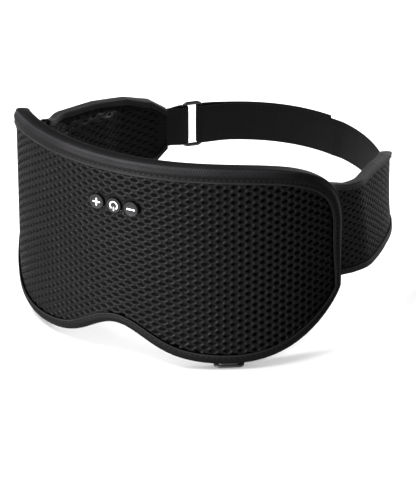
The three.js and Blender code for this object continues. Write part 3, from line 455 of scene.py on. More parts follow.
TUNGSTEN = metal_paint("weight_metal", grey(0.22), grey(0.34), 0.38, stretch=(12, 1, 1))
FILM = film_paint()
JACKET = moulded_paint("wire_jacket", (0.22, 0.012, 0.012, 1), (0.27, 0.02, 0.018, 1), 0.42)
CONE = cloth_paint("speaker_cone", grey(0.016), grey(0.03), 1600.0, sheen=0.02, roughness=0.7)


# ---------------- the mask: cover, binding, lining

# Lengths in mm, as everywhere below unless a line says metres.
MASK_HALF, END_LEVEL = 111.9, -9.5
BUTTON_LEVEL, BUTTONS = 33.5, {"plus": -8.9, "power": 0.0, "minus": 8.9}
BROW_RISE, BROW_DROP, BROW_CORNER = 65.7, 8.9, 5.8
CHIN_FALL, CHEEK_FALL, CHEEK_LIFT, CHEEK_CORNER = 27.6, 40, 45.6, 2.16
NOTCH_RISE, NOTCH_REACH = 11.9, 20.1
# The grids stop just short of the outline's ends, where its slope would be endless.
OUTLINE_SHARE = 0.995


def mask_top(s, inset=0.0):
    u = np.minimum(1, np.abs(s) / (MASK_HALF - inset))
    rise = BROW_RISE - BROW_DROP * u ** 4
    return END_LEVEL - inset + rise * (1 - u ** BROW_CORNER) ** (1 / BROW_CORNER)


def mask_bottom(s, inset=0.0):
    u = np.minimum(1, np.abs(s) / (MASK_HALF - inset))
    notch = NOTCH_RISE * np.exp(-(s / NOTCH_REACH) ** 2)
    fall = CHIN_FALL + CHEEK_FALL * u ** 2 - CHEEK_LIFT * u ** 4 - notch
    return END_LEVEL + inset - fall * (1 - u ** CHEEK_CORNER) ** (1 / CHEEK_CORNER)


def mask_grid(spacing, rows, inset=0.0):
    """Places in mm over the mask's outline, stations x rows."""
    limit = OUTLINE_SHARE * (MASK_HALF - inset)
    s = np.linspace(-limit, limit, round(2 * limit / spacing))[:, None]
    share = np.linspace(0, 1, rows)[None]
    return s + 0 * share, mix(mask_bottom(s, inset), mask_top(s, inset), share)


def edge_distance(s, z):
    """How far a place is from the outline, roughly, measured straight up or down or along to the ends."""
    ends = 1.15 * (0.9955 * MASK_HALF - np.abs(s)) + 0.3
    return np.minimum(np.minimum(mask_top(s) - z, z - mask_bottom(s)), ends)


NOISE_WAVES = 10


def noise_field(a, b, cells, seed):
    """Smooth random field from -1 to 1 over two arrays of places, its cells this long each way."""
    rng = np.random.default_rng(seed)
    waves = rng.normal(size=(NOISE_WAVES, 2)) / np.array(cells)
    turns = rng.uniform(0, 2 * np.pi, NOISE_WAVES)
    return sum(np.sin(a * p + b * q + t) for (p, q), t in zip(waves, turns)) / NOISE_WAVES


def net_marks(s, z, period, hole, lean=0.0):
    """The net's holes and the yarns round them, from 0 to 1. Holes are staggered lenses of this period and
    half size along and up; lean slants them."""
    s = s + 0.35 * noise_field(s, z, (5, 4), 3)
    z = z + 0.18 * noise_field(s, z, (6, 3), 4)
    nearest = np.full(s.shape, 9.0)
    for half in (0, 0.5):
        x = ((s / period[0] + half) % 1 - 0.5) * period[0]
        y = ((z / period[1] + half) % 1 - 0.5) * period[1]
        x = x + lean * y
        away = ((np.abs(x) / hole[0]) ** 1.6 + (np.abs(y) / hole[1]) ** 1.6) ** (1 / 1.6)
        nearest = np.minimum(nearest, away)
    pit = 1 - smooth(0.72, 1.12, nearest)
    strand = smooth(0.98, 1.14, nearest) * (1 - smooth(1.26, 1.6, nearest))
    return pit, strand


def evaluated(obj):
    """obj with its modifiers applied to its mesh."""
    graph = bpy.context.evaluated_depsgraph_get()
    mesh = bpy.data.meshes.new_from_object(obj.evaluated_get(graph))
    obj.modifiers.clear()
    obj.data = mesh
    return obj


def carve(obj, *cutters):
    for cutter in cutters:
        modifier = obj.modifiers.new("cut", "BOOLEAN")
        modifier.object, modifier.solver = cutter, "MANIFOLD"
    evaluated(obj)
    for cutter in cutters:
        bpy.data.objects.remove(cutter)
    return obj


def disc_points(radius, count=48):
    turn = np.linspace(0, 2 * np.pi, count, endpoint=False)
    return radius * np.stack([np.cos(turn), np.sin(turn)], -1)


def bar(name, outline, x, depths):
    """A closed outline (across, up) lofted along Y through (y, scale) pairs, on the level of the buttons."""
    rings = [[(x + k * u, y, BUTTON_LEVEL + k * v) for u, v in outline] for y, k in depths]
    return loft(name, np.array(rings) * MM, creased=True)


COVER_BACK, COVER_EDGE = -1.4, -1.15
NET_PERIOD, NET_HOLE, HOLE_DEPTH, YARN_RISE = (6.6, 3.8), (1.8, 0.86), 0.95, 0.18
# The net is pressed flat and sunk in a ring round each button, and cut away over the button itself.
PRESSED_FROM, PRESSED_TO, PRESSED_DEPTH = 4.2, 5.4, 0.35
BUTTON_HOLE, CUT_FRONT, CUT_BACK = 3.9, -82, -66

s, z = mask_grid(0.55, 226)
pit, strand = net_marks(s, z, NET_PERIOD, NET_HOLE)
loose = np.ones_like(s)
for button_s in BUTTONS.values():
    loose *= smooth(PRESSED_FROM, PRESSED_TO, np.hypot(s - button_s, z - BUTTON_LEVEL))
pit, strand = pit * loose, strand * loose
pit = pit * (smooth(2.0, 3.2, mask_top(s) - z) * smooth(1.5, 2.5, z - mask_bottom(s)))
rolled = 1 - smooth(0.3, 3.4, edge_distance(s, z))
outer = -HOLE_DEPTH * pit - YARN_RISE * (1 - strand) - PRESSED_DEPTH * (1 - loose)
outer = mix(outer, COVER_EDGE, rolled)
# pit and strand also colour the net: a painted shade in the holes, and a lighter yarn colour that is partly
# painted highlight.
cover = panel("mask_cover", s, z, outer, np.full_like(s, COVER_BACK), coarse=9, pit=pit, strand=strand)
cover.data.materials.append(COVER_NET)
carve(cover, *(bar("cutter", disc_points(BUTTON_HOLE), x, [(CUT_FRONT, 1), (CUT_BACK, 1)])
               for x in BUTTONS.values()))
place(cover, "mask", "mesh_fabric", "front_mesh_cover")


CORNER_REACH = 1.6


def mask_loop(spacing):
    """The outline as an evenly spaced loop of (s, z), with outward normals."""
    limit = math.asin(OUTLINE_SHARE)
    s = MASK_HALF * np.sin(np.linspace(-limit, limit, 3000))
    loop = np.concatenate([np.stack([s, mask_bottom(s)], -1), np.stack([s, mask_top(s)], -1)[::-1]])
    closed = np.concatenate([loop, loop[:1]])
    run = np.concatenate([[0], np.cumsum(np.hypot(*np.diff(closed, axis=0).T))])
    count = round(run[-1] / spacing)
    even = np.linspace(0, run[-1], count, endpoint=False)
    points = np.stack([np.interp(even, run, closed[:, k]) for k in (0, 1)], -1)
    for _ in range(2):
        points = sum(np.roll(points, k, 0) for k in (-1, 0, 1)) / 3
    reach = round(CORNER_REACH / spacing)
    tangent = np.roll(points, -reach, 0) - np.roll(points, reach, 0)
    tangent /= np.hypot(*tangent.T)[:, None]
    return even, points, np.stack([tangent[:, 1], -tangent[:, 0]], -1)


# The tape: how wide its legs are at the chin and at the brow, how far its face and its inside stand out,
# and the pitches of its ribs and of the stitches that hold it.
LOOP_SPACING = 0.34
LEG_LOW, LEG_HIGH = 4.5, 6.4
TAPE_FACE, TAPE_BACK_LOW, TAPE_BACK_HIGH = 1.05, -7.6, -6.3
RIB_PITCH, RIB_LEAN, STITCH_PITCH = 1.2, 2.6, 2.6

run, outline, outward = mask_loop(LOOP_SPACING)
upper = smooth(END_LEVEL - 5, END_LEVEL + 25, outline[:, 1])[:, None]
leg = mix(LEG_LOW, LEG_HIGH, upper)
level = 0 * leg
near, far = level, mix(TAPE_BACK_LOW, TAPE_BACK_HIGH, upper)

# Round the tape's section, each row (out from the outline, depth, part): its outer leg is part 0 to 1, the fold
# over the edge 1 to 2, its inner leg 2 to 3, and 3 is the side that touches the mask.
leg_steps = np.array([0, .04, .08, .12, .16, .2, .24, .3, .36, .44, .52, .6, .68, .76, .84, .92, 1])
fold = np.radians(np.arange(10, 171, 16))
roll = 1.05 * smooth(0.6, 1.0, leg_steps)
section = [(-leg * (1 - k), TAPE_FACE - drop + level, k + level) for k, drop in zip(leg_steps, roll)]
section += [(np.sin(a) ** 0.8 + level, mix(near, far, (1 - np.cos(a)) / 2), 1 + a / np.pi + level) for a in fold]
section += [(-leg * k, far, 2 + k + level) for k in (0.04, 0.3, 0.65, 1.0)]
section += [(-leg * k, far + 0.72, 3 + level) for k in (0.98, 0.5, 0.15)]
section += [(0.2 + level, mix(near, far, k) - 0.2, 3 + level) for k in (0.7, 0.45, 0.25)]
section += [(-leg * k, 0.3 - drop + level, 3 + level)
            for k, drop in ((0.12, 1), (0.3, 0.5), (0.5, 0), (0.98, 0))]
offset, depth, part = (np.concatenate([row[k] for row in section], 1) for k in range(3))
around = run[:, None] + 0 * offset


def ridge(centre, width):
    """1 along a line of the tape's section, fading to 0 on both sides of it."""
    return np.exp(-((part - centre) / width) ** 2)


ribbed = (1 - smooth(1.3, 1.6, part)) * smooth(0.40, 0.50, part) * upper
ribs = 0.5 + 0.5 * np.sin(2 * np.pi * (around + RIB_LEAN * part * leg / LEG_HIGH) / RIB_PITCH)
groove = ridge(0.30, 0.035) * (part < 0.6)
hem = ridge(0.10, 0.06) * (part < 0.3)
stitch = ridge(0.30, 0.03) * (part < 0.6) * (np.sin(2 * np.pi * around / STITCH_PITCH) > -0.35)
seam = ridge(2.62, 0.05) * (part > 2) * (part < 2.9)
ripple = 0.10 * noise_field(around, 8 * part, (7, 3), 7)
lift = 0.16 * ribs * ribbed - 0.34 * groove + 0.14 * hem + 0.3 * stitch + ripple - 0.2
depth = depth + np.where(part < 1.02, lift, 0) - np.where((part > 2) & (part < 2.95), 0.2 * seam - 0.15, 0)
offset = offset + np.where((part >= 1.02) & (part < 2), 0.12 * ribs * ribbed - 0.14, 0)
# Painted highlight: the rib crests on the upper tape and the pressed hem ridge are painted lighter, and the
# stitches are lightened too.
light = np.clip(0.9 * ribs * ribbed * smooth(0.5, 0.8, part) + 0.55 * hem + 0.3 * stitch, 0, 1)
rings = band(outline[:, :1] + outward[:, :1] * offset, outline[:, 1:] + outward[:, 1:] * offset, depth)
binding = loft("edge_binding_tape", rings, closed=True,
               attributes={"along": around, "across": part * LEG_HIGH, "light": light})
binding.data.materials.append(TAPE)


binding.data.materials.append(TAPE)


def block(name, s, z, depth, outline, steps, upright):
    """A closed outline (along, across) at a place on the band, lofted through (step, scale) pairs: upwards with
    the outline lying flat, or outwards with it standing."""
    heading, centre = heading_at(s), band(s, z, depth) / MM
    along = np.array([math.cos(heading), math.sin(heading), 0])
    out = np.array([math.sin(heading), -math.cos(heading), 0])
    up = np.array([0, 0, 1])
    across, way = (out, up) if upright else (up, out)
    rings = [[centre + k * u * along + k * v * across + step * way for u, v in outline] for step, k in steps]
    return loft(name, np.array(rings) * MM, creased=True)


# The charging port's hole in the tape, at the lowest place of the +X cheek.
SOCKET_DEPTH, HOLE_WIDTH, HOLE_THICK, HOLE_CORNER, HOLE_REACH = -3.55, 11.24, 5.5, 2.2, 3
cheek = np.linspace(0, MASK_HALF, 200)
port_s = float(cheek[np.argmin(mask_bottom(cheek))])
port_level = float(mask_bottom(port_s)) - 1.1
port_outline = rounded_section(HOLE_WIDTH, HOLE_THICK, HOLE_CORNER)
carve(binding, block("cutter", port_s, port_level, SOCKET_DEPTH, port_outline,
                     [(-HOLE_REACH, 1), (HOLE_REACH, 1)], upright=True))
place(binding, "mask", "binding", "edge_binding")

# The face lining, with the swell over the control case and a hole for each speaker's harness.
LINING_FRONT, LINING_BACK, LINING_INSET = -5.7, -6.45, 0.8
CASE_LEVEL, HARNESS_PLACE, HARNESS_LEVEL, HARNESS_HOLE = 27, 96.9, 12, 2.5
s, z = mask_grid(1.0, 110, LINING_INSET)
swell = (1 - smooth(16.4, 21.5, np.abs(s))) * (1 - smooth(17.2, 22.0, np.abs(z - CASE_LEVEL)))
creases = 0.10 * noise_field(s, z, (9, 5), 11) + 0.12 * noise_field(s + z, s - z, (4, 12), 12)
creases *= smooth(2, 8, mask_top(s) - z) * smooth(2, 8, z - mask_bottom(s))
pinch = 1.15 * (1 - smooth(3.5, 11, edge_distance(s, z))) * smooth(END_LEVEL - 5, END_LEVEL + 25, z)
inner = LINING_BACK - 6.85 * swell - np.abs(creases) + pinch
lining = panel("face_lining", s, z, LINING_FRONT - 6.8 * swell + pinch, inner)
lining.data.materials.append(LINING)
carve(lining, *(block("cutter", side * HARNESS_PLACE, HARNESS_LEVEL, 0, disc_points(HARNESS_HOLE),
                      [(-12, 1), (12, 1)], upright=False) for side in (-1, 1)))
place(lining, "mask", "lining", "face_liner")


# The cloth simulation that fills a cushion; sizes in metres.
VOXEL, PRESSURE, SWELL_LIMIT, CLOTH_MASS, CLOTH_QUALITY, CLOTH_FRAMES = 0.0013, 4.0, 0.0013, 0.1, 6, 20


def swollen(obj):
    """Blows a sewn case up with a cloth simulation, no point moving further than SWELL_LIMIT."""
    remesh = obj.modifiers.new("even", "REMESH")
    remesh.mode, remesh.voxel_size, remesh.use_smooth_shade = "VOXEL", VOXEL, True
    evaluated(obj)
    rest = np.array([v.co for v in obj.data.vertices])
    cloth = obj.modifiers.new("filling", "CLOTH")
    settings = cloth.settings
    settings.use_pressure, settings.uniform_pressure_force = True, PRESSURE
    settings.effector_weights.gravity = 0
    settings.mass, settings.quality = CLOTH_MASS, CLOTH_QUALITY
    cloth.point_cache.frame_start, cloth.point_cache.frame_end = 1, CLOTH_FRAMES
    for step in range(1, CLOTH_FRAMES + 1):
        bpy.context.scene.frame_set(step)
    graph = bpy.context.evaluated_depsgraph_get()
    blown = np.array([v.co for v in obj.evaluated_get(graph).data.vertices])
    obj.modifiers.clear()
    bpy.context.scene.frame_set(1)
    move = blown - rest
    far = np.linalg.norm(move, axis=1, keepdims=True)
    move *= np.minimum(1, SWELL_LIMIT / np.maximum(far, 1e-9))
    obj.data.vertices.foreach_set("co", (rest + move).ravel())
    smoother = obj.modifiers.new("finer", "SUBSURF")
    smoother.levels = smoother.render_levels = 1
    return evaluated(obj)


PAD_PLACE, PAD_LEVEL, PAD_HALF_WIDTH, PAD_HALF_HEIGHT = 41, -2, 24, 20
# Across a cushion's section: its middle, its half width, and where its middle lies in depth and its half depth.
PAD_MIDDLE, PAD_HALF, PAD_DEPTH, PAD_HALF_DEPTH = 5.5, 4.0, -10.7, 3.1
WELT_DEPTH, WELT_RADIUS, WELT_TWIST = -7.55, 0.55, 0.08


def squared(values, power):
    """A sine or cosine bent so that its round becomes more of a box."""
    return np.sign(values) * np.abs(values) ** power


for side, sign in (("left", 1), ("right", -1)):
    turn = np.linspace(0, 2 * np.pi, 96, endpoint=False)[:, None]
    around = np.radians(np.arange(0, 360, 15))[None]
    wide = PAD_MIDDLE + PAD_HALF * squared(np.cos(around), 0.8)
    deep = PAD_DEPTH + PAD_HALF_DEPTH * squared(np.sin(around), 0.7)
    s = sign * PAD_PLACE + (PAD_HALF_WIDTH - wide) * np.cos(turn)
    z = PAD_LEVEL + (PAD_HALF_HEIGHT - wide) * np.sin(turn)
    cushion = loft(f"{side}_eye_cushion", band(s, z, deep), closed=True)
    swollen(cushion)
    cushion.data.materials.append(PAD_CLOTH)
    place(cushion, "mask", "pad_fabric", f"{side}_eye_pad")
    # A welt sewn round the outer and inner edges, where the cushion meets the lining.
    for name, inset, count in (("outer", 0.35, 220), ("inner", 10.7, 130)):
        half_s, half_z = PAD_HALF_WIDTH - inset, PAD_HALF_HEIGHT - inset
        turn = np.linspace(0, 2 * np.pi, count, endpoint=False)[:, None]
        around = np.linspace(0, 2 * np.pi, 10, endpoint=False)[None]
        radius = WELT_RADIUS + WELT_TWIST * np.sin(np.arange(count) * 2 * np.pi / 4)[:, None]
        out_s, out_z = np.cos(turn) / half_s, np.sin(turn) / half_z
        steepness = np.hypot(out_s, out_z)
        s = sign * PAD_PLACE + half_s * np.cos(turn) + out_s / steepness * radius * np.cos(around)
        z = PAD_LEVEL + half_z * np.sin(turn) + out_z / steepness * radius * np.cos(around)
        welt = loft(f"{side}_pad_{name}_welt", band(s, z, WELT_DEPTH + radius * np.sin(around)), closed=True)
        welt.data.materials.append(THREAD)
        place(welt, "mask", "pad_fabric")


# ---------------- wings

# A wing runs from the mask's end to the seam with the strap; its edges are (share of its length, height).
WING_LENGTH, SEAM = 98.8, 210.7
CLOTH_THICK = 0.8
WING_TOP = [[0, 35], [.15, 30.4], [.52, 26.4], [.75, 21.6], [.91, 16], [1, 10]]
WING_BOTTOM = [[0, -11.4], [.15, -12.7], [.52, -13.5], [.82, -16.8], [.9, -18.4], [1, -10]]


def wing_edge(s, points):
    share = (np.abs(s) - MASK_HALF) / WING_LENGTH
    return np.interp(share, *np.array(points).T)


WING_START, WING_LEAN = -7.9, 0.135
SLIT_WIDTH, SLIT_FOOT = 6.4, 17.5


def wing_outer(s, z):
    """Depth of the wing's outer face: it starts inside the mask, comes out, and leans in towards its top."""
    a = np.abs(s)
    share = np.clip((a - MASK_HALF) / (WING_LENGTH - 10), 0, 1)
    lean = WING_LEAN * np.maximum(0, np.sin(np.pi * share)) ** 0.8
    return mix(WING_START, 0, smooth(MASK_HALF + 2, 139.4, a)) - lean * (z + 12)


def wing_inner(s, z):
    """Depth of the lining's outer face: the wing is open between its cloths, pressed together at its top."""
    a = np.abs(s)
    opened, closed = smooth(MASK_HALF + 4, 137.4, a), smooth(166.4, 182.4, a)
    thin = mix(1.4, 2.9, smooth(MASK_HALF + 4, 151.9, a))
    hem_end = wing_edge(s, WING_TOP) - 4
    high = smooth(np.minimum(SLIT_FOOT, hem_end - 2), hem_end, z)
    pressed = 1 - 0.6 * smooth(hem_end - 3, hem_end + 2, z) * smooth(112, 122, a) * (1 - smooth(182, 198, a))
    return wing_outer(s, z) - CLOTH_THICK - mix(thin, SLIT_WIDTH, opened * (1 - closed) * (1 - high)) * pressed


def wing_grid(sign, start, spacing, rows):
    s = np.sort(sign * np.linspace(start, SEAM, round((SEAM - start) / spacing)))[:, None]
    share = np.linspace(0, 1, rows)[None]
    return s + 0 * share, mix(wing_edge(s, WING_BOTTOM), wing_edge(s, WING_TOP), share)


HEM_LIFT, HEM_PITCH, HEM_STITCH = 0.9, 2.4, 0.22


def wing_hem(name, sign, points, up, node):
    """A turned hem, round over the edge, with a row of stitches along each leg."""
    s = np.sort(sign * np.linspace(MASK_HALF + 1.6, SEAM, 300))[:, None]
    edge = wing_edge(s, points)
    arc = np.radians(np.arange(0, 181, 22.5))[None]
    front, back = wing_outer(s, edge) + HEM_LIFT, wing_inner(s, edge) - CLOTH_THICK - HEM_LIFT
    stitch = (np.sin(2 * np.pi * s / HEM_PITCH) > -0.3) * HEM_STITCH

    def row(reach, face, lift):
        """A line of the hem this far in from the edge and this far off a face of the wing."""
        z = edge - up * reach
        return z, face(s, z) + lift

    outer_leg = [row(reach, wing_outer, lift) for reach, lift in (
        (2.45, 0.4), (2.4, 0.78), (2.1, 0.86), (1.75, 0.62), (1.6, 0.62 + stitch), (1.45, 0.62), (1.1, 0.86),
        (0.5, HEM_LIFT))]
    crown = [(edge + up * HEM_LIFT * np.sin(arc) ** 0.7,
              (front + back) / 2 + (front - back) / 2 * np.cos(arc) * (1 - 0.04 * np.sin(arc)))]
    inner_leg = [row(reach, wing_inner, -CLOTH_THICK - lift) for reach, lift in (
        (0.5, HEM_LIFT), (1.1, 0.86), (1.6, 0.66 + stitch), (2.1, 0.86), (2.45, 0.8), (2.45, 0.35))]
    lining_side = [row(reach, wing_inner, -1.1) for reach in (1.2, -0.1)]
    cloth_side = [row(reach, wing_outer, 0.3) for reach in (-0.1, 1.2)]
    rows = outer_leg + crown + inner_leg + lining_side + cloth_side
    z, depth = (np.concatenate([line[k] + 0 * s for line in rows], 1) for k in (0, 1))
    across = np.arange(z.shape[1])[None] * 0.6 + 0 * s
    hem = loft(name, band(s, z, depth), attributes={"along": s + 0 * z, "across": across})
    hem.data.materials.append(HEM)
    place(hem, "mask", "binding", node)


for side, sign in (("left", 1), ("right", -1)):
    s, z = wing_grid(sign, 101.9, 0.55, 106)
    pit, strand = net_marks(s, z, (5.2, 3.4), (1.5, 0.62), lean=sign * 0.5)
    covered = smooth(114, 118, np.abs(s)) * (1 - smooth(SEAM - 4, SEAM - 2.5, np.abs(s)))
    covered *= smooth(2.6, 3.6, wing_edge(s, WING_TOP) - z) * smooth(2.6, 3.6, z - wing_edge(s, WING_BOTTOM))
    pit = pit * covered
    soft = 0.10 * noise_field(s, z, (12, 9), 21)
    outer = wing_outer(s, z) - 0.5 * pit - 0.06 * (1 - strand) + np.minimum(soft, 0)
    # pit and strand also colour the wing net: a painted shade in the holes, and a lighter yarn colour that is
    # partly painted highlight.
    cloth = panel(f"{side}_wing_cloth", s, z, outer, wing_outer(s, z) - CLOTH_THICK, coarse=7,
                  pit=pit, strand=strand)
    cloth.data.materials.append(WING_NET)
    place(cloth, "mask", "mesh_fabric", f"{side}_wing_mesh")

    s, z = wing_grid(sign, 91.9, 0.7, 91)
    pit, strand = net_marks(s, z, (7.6, 4.2), (2.5, 0.5))
    shown = smooth(116, 120, np.abs(s)) * (1 - smooth(SEAM - 6, SEAM - 5, np.abs(s)))
    shown *= smooth(3.2, 4.6, wing_edge(s, WING_TOP) - z) * smooth(3.2, 4.6, z - wing_edge(s, WING_BOTTOM))
    pit = pit * shown
    inner = wing_inner(s, z) - CLOTH_THICK + 0.35 * pit + 0.05 * (1 - strand)
    # pit and strand also colour the lining: a painted shade in the slits, and a lighter yarn colour that is
    # partly painted highlight.
    wing_lining = panel(f"{side}_wing_lining", s, z, wing_inner(s, z), inner, seen_inside=True,
                        coarse=6, pit=pit, strand=strand)
    wing_lining.data.materials.append(SLIT_LINING)
    place(wing_lining, "mask", "lining", f"{side}_wing_liner")
    wing_hem(f"{side}_wing_top_edge", sign, WING_TOP, 1, f"{side}_wing_top_hem")
    wing_hem(f"{side}_wing_bottom_edge", sign, WING_BOTTOM, -1, f"{side}_wing_bottom_hem")


# ---------------- strap and ring

STRAP_HEIGHT, STRAP_THICK, STRAP_MIDDLE = 20.0, 1.0, -2.25


def webbing(name, path, material=ELASTIC, height=STRAP_HEIGHT, thick=STRAP_THICK, sway=0.05):
    """Flat elastic along a path of (along the band, depth): round selvedges, a cord in each, fine ribs, and a
    little sway up and down."""
    path = np.asarray(path, float)
    run = np.concatenate([[0], np.cumsum(np.hypot(*np.diff(path, axis=0).T))])
    even = np.linspace(0, run[-1], max(8, round(run[-1] / 0.5)))
    path = np.stack([np.interp(even, run, path[:, k]) for k in (0, 1)], -1)
    tangent = np.gradient(path, axis=0)
    tangent /= np.hypot(*tangent.T)[:, None]
    normal = np.stack([-tangent[:, 1], tangent[:, 0]], -1)
    share = np.linspace(-1, 1, 23)
    up = np.sign(share) * (1 - (1 - np.abs(share)) ** 1.35)
    fat = (thick / 2) * (1 - np.maximum(0, (np.abs(up) - 0.93) / 0.07) ** 2 * 0.75)
    fat -= 0.16 * thick * np.exp(-((np.abs(up) - 0.84) / 0.03) ** 2)
    ribs = 0.05 * thick * np.sin(2 * np.pi * even / 1.5)[:, None]
    z = sway * np.sin(even / 21)[:, None] + up[None] * (height / 2 - 0.06)
    sides = []
    for face in (1, -1):
        rise = fat[None] - np.maximum(0, ribs * face) - 0.03 * thick
        sides.append((path[:, :1] + normal[:, :1] * face * rise, z, path[:, 1:] + normal[:, 1:] * face * rise))
    ring = [np.concatenate([sides[0][k], sides[1][k][:, ::-1]], 1) for k in range(3)]
    across = np.concatenate([up, up[::-1] + 3])[None] * height / 2 + 0 * z[:, :1]
    obj = loft(name, band(*ring), attributes={"along": even[:, None] + 0 * across, "across": across})
    obj.data.materials.append(material)
    return obj


THREAD_RADIUS, SEWING_PITCH, STITCH_LENGTH, THREAD_SIDES = 0.22, 2.4, 1.7, 6
# Along one stitch: share of its length, thickness and height in thread radii.
STITCH_PROFILE = ((0.0, 0.05, -0.9), (0.12, 0.8, -0.2), (0.5, 1.0, 0.35), (0.88, 0.8, -0.2), (1.0, 0.05, -0.9))


def stitches(name, runs, body):
    """Rows of thread stitches: each run is a line of (s, z, depth) points in mm."""
    points, faces, caps = [], [], []
    for line in runs:
        line = np.asarray(line, float)
        run = np.concatenate([[0], np.cumsum(np.linalg.norm(np.diff(line, axis=0), axis=1))])
        for start in np.arange(SEWING_PITCH / 4, run[-1] - STITCH_LENGTH, SEWING_PITCH):
            ring_starts = []
            for share, fat, lift in STITCH_PROFILE:
                at, ahead = ([np.interp(start + STITCH_LENGTH * (share + d), run, line[:, k]) for k in range(3)]
                             for d in (0, 0.01))
                way = np.array(ahead[:2]) - np.array(at[:2])
                way /= max(np.hypot(*way), 1e-9)
                ring_starts.append(len(points))
                for turn in np.linspace(0, 2 * np.pi, THREAD_SIDES, endpoint=False):
                    across = THREAD_RADIUS * fat * math.cos(turn)
                    points.append((at[0] - way[1] * across, at[1] + way[0] * across,
                                   at[2] + THREAD_RADIUS * (lift + fat * math.sin(turn))))
            rings = [range(first, first + THREAD_SIDES) for first in ring_starts]
            for a, b in zip(rings, rings[1:]):
                faces += [(a[k], b[k], b[k + 1 - THREAD_SIDES], a[k + 1 - THREAD_SIDES])
                          for k in range(THREAD_SIDES)]
            caps += [rings[0], rings[-1][::-1]]
    points = np.array(points)
    row = solid(name, band(*points.T), faces, caps=caps)
    row.data.materials.append(THREAD)
    place(row, body, "elastic")


# Along the band on the -X side: where the strap is sewn into the wings, the ring's two bars, and the free end.
SEAM_END = SEAM - 8
NEAR_BAR, FAR_BAR = SEAM + 10, SEAM + 19.3
FOLD_RADIUS, LAYER_STEP = 2.2, 0.65
TAIL_END, PATCH_START, PATCH_END = FAR_BAR + 70, FAR_BAR + 18, FAR_BAR + 64


def round_bar(a, start, end):
    turn = np.radians(np.linspace(start, end, 24))
    return np.stack([a + FOLD_RADIUS * np.cos(turn), STRAP_MIDDLE + FOLD_RADIUS * np.sin(turn)], -1)


def eased(start, end, depth, settled):
    """A path that settles from one depth to another over its first 16 mm."""
    a = np.linspace(start, end, 60)
    return np.stack([a, mix(depth, settled, smooth(start, start + 16, a))], -1)


def left_out(path):
    """A path on the -X side, given by its distance from the nose."""
    return np.asarray(path) * (-1, 1)


def loop_layer(face):
    a = np.linspace(SEAM_END, NEAR_BAR - 0.2, 24)
    apart = mix(LAYER_STEP, FOLD_RADIUS, smooth(NEAR_BAR - 8, NEAR_BAR - 1, a))
    return np.stack([a, STRAP_MIDDLE + face * apart], -1)


short_path = np.concatenate([loop_layer(1), round_bar(NEAR_BAR, 88, -88), loop_layer(-1)[::-1]])
short_strap = webbing("ring_strap", left_out(short_path))
place(short_strap, "mask", "elastic", "short_strap")

tail_depth, strap_depth = STRAP_MIDDLE + LAYER_STEP + 1.0, STRAP_MIDDLE - LAYER_STEP
under_tail = eased(FAR_BAR - 0.1, TAIL_END + 4, STRAP_MIDDLE - FOLD_RADIUS, strap_depth)
rest = np.stack([np.linspace(TAIL_END + 10, 2 * HALF_LOOP - SEAM_END, 60), np.full(60, STRAP_MIDDLE)], -1)
main_strap = webbing("head_strap", left_out(np.concatenate([under_tail, rest])))
place(main_strap, "mask", "elastic", "main_strap")

# The end of the strap turns round the ring's far bar and lies on the strap.
tail_path = np.concatenate([round_bar(FAR_BAR - 0.15, 270, 92),
                            eased(FAR_BAR + 0.15, TAIL_END, STRAP_MIDDLE + FOLD_RADIUS, tail_depth)])
tail = webbing("strap_end", left_out(tail_path))
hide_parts("strap_tail", "strap_fold")
bend_start, bend_end = (band(-(FAR_BAR + a), 0, STRAP_MIDDLE + FOLD_RADIUS) for a in (0.1, 4.0))
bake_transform(tail)

patch_depth = strap_depth + STRAP_THICK / 2 + 0.3 + 0.35
patch = webbing("hook_tape", left_out([(a, patch_depth) for a in np.linspace(PATCH_START, PATCH_END, 20)]),
                HOOKS, height=18.0, thick=0.62, sway=0.0)
place(patch, "strap_tail", "hook_tape", "hook_patch")

# Seams: round the hook tape, 1.5 mm in from its ends, and two rows across each wing's end.
tail_face = tail_depth + STRAP_THICK / 2
sewn_from, sewn_to = PATCH_START + 1.5, PATCH_END - 1.5
around_patch = [[(-a, z, tail_face) for a in np.linspace(sewn_from, sewn_to, 30)] for z in (-7.6, 7.6)]
around_patch += [[(-a, z, tail_face) for z in np.linspace(-7.2, 7.2, 12)] for a in (sewn_from, sewn_to)]
stitches("hook_tape_stitches", around_patch, "strap_tail")
wing_rows = [[(sign * a, z, float(wing_outer(a, z)) - 0.02) for z in np.linspace(-8.6, 8.6, 14)]
             for sign in (1, -1) for a in (SEAM - 2.0, SEAM - 5.5)]
stitches("wing_seam_stitches", wing_rows, "mask")

RING_HEIGHT, RING_CORNER, WIRE_RADIUS = 22.5, 2.4, 0.95
ring_s = -(NEAR_BAR + FAR_BAR) / 2
heading, centre = heading_at(ring_s), band(ring_s, 0, STRAP_MIDDLE) / MM
ring_line = rounded_section(FAR_BAR - NEAR_BAR, RING_HEIGHT, RING_CORNER, 8, 18)
forward = np.roll(ring_line, -1, 0) - np.roll(ring_line, 1, 0)
forward /= np.hypot(*forward.T)[:, None]
aside = np.stack([forward[:, 1], -forward[:, 0]], -1)
around = np.linspace(0, 2 * np.pi, 20, endpoint=False)
along = ring_line[:, :1] + aside[:, :1] * WIRE_RADIUS * np.cos(around)
up = ring_line[:, 1:] + aside[:, 1:] * WIRE_RADIUS * np.cos(around)
out = np.broadcast_to(WIRE_RADIUS * np.sin(around), along.shape)
ring_points = np.stack([centre[0] + along * math.cos(heading) + out * math.sin(heading),
                        centre[1] + along * math.sin(heading) - out * math.cos(heading), up], -1)
ring = loft("ring", ring_points * MM, closed=True)
ring.data.materials.append(GLOSS)
place(ring, "strap_ring", "ring_plastic", "strap_ring")


# ---------------- buttons

CAP_FACE, CAP_BACK, CAP_RADIUS, DISH = -76.0, -73.6, 3.6, 0.2


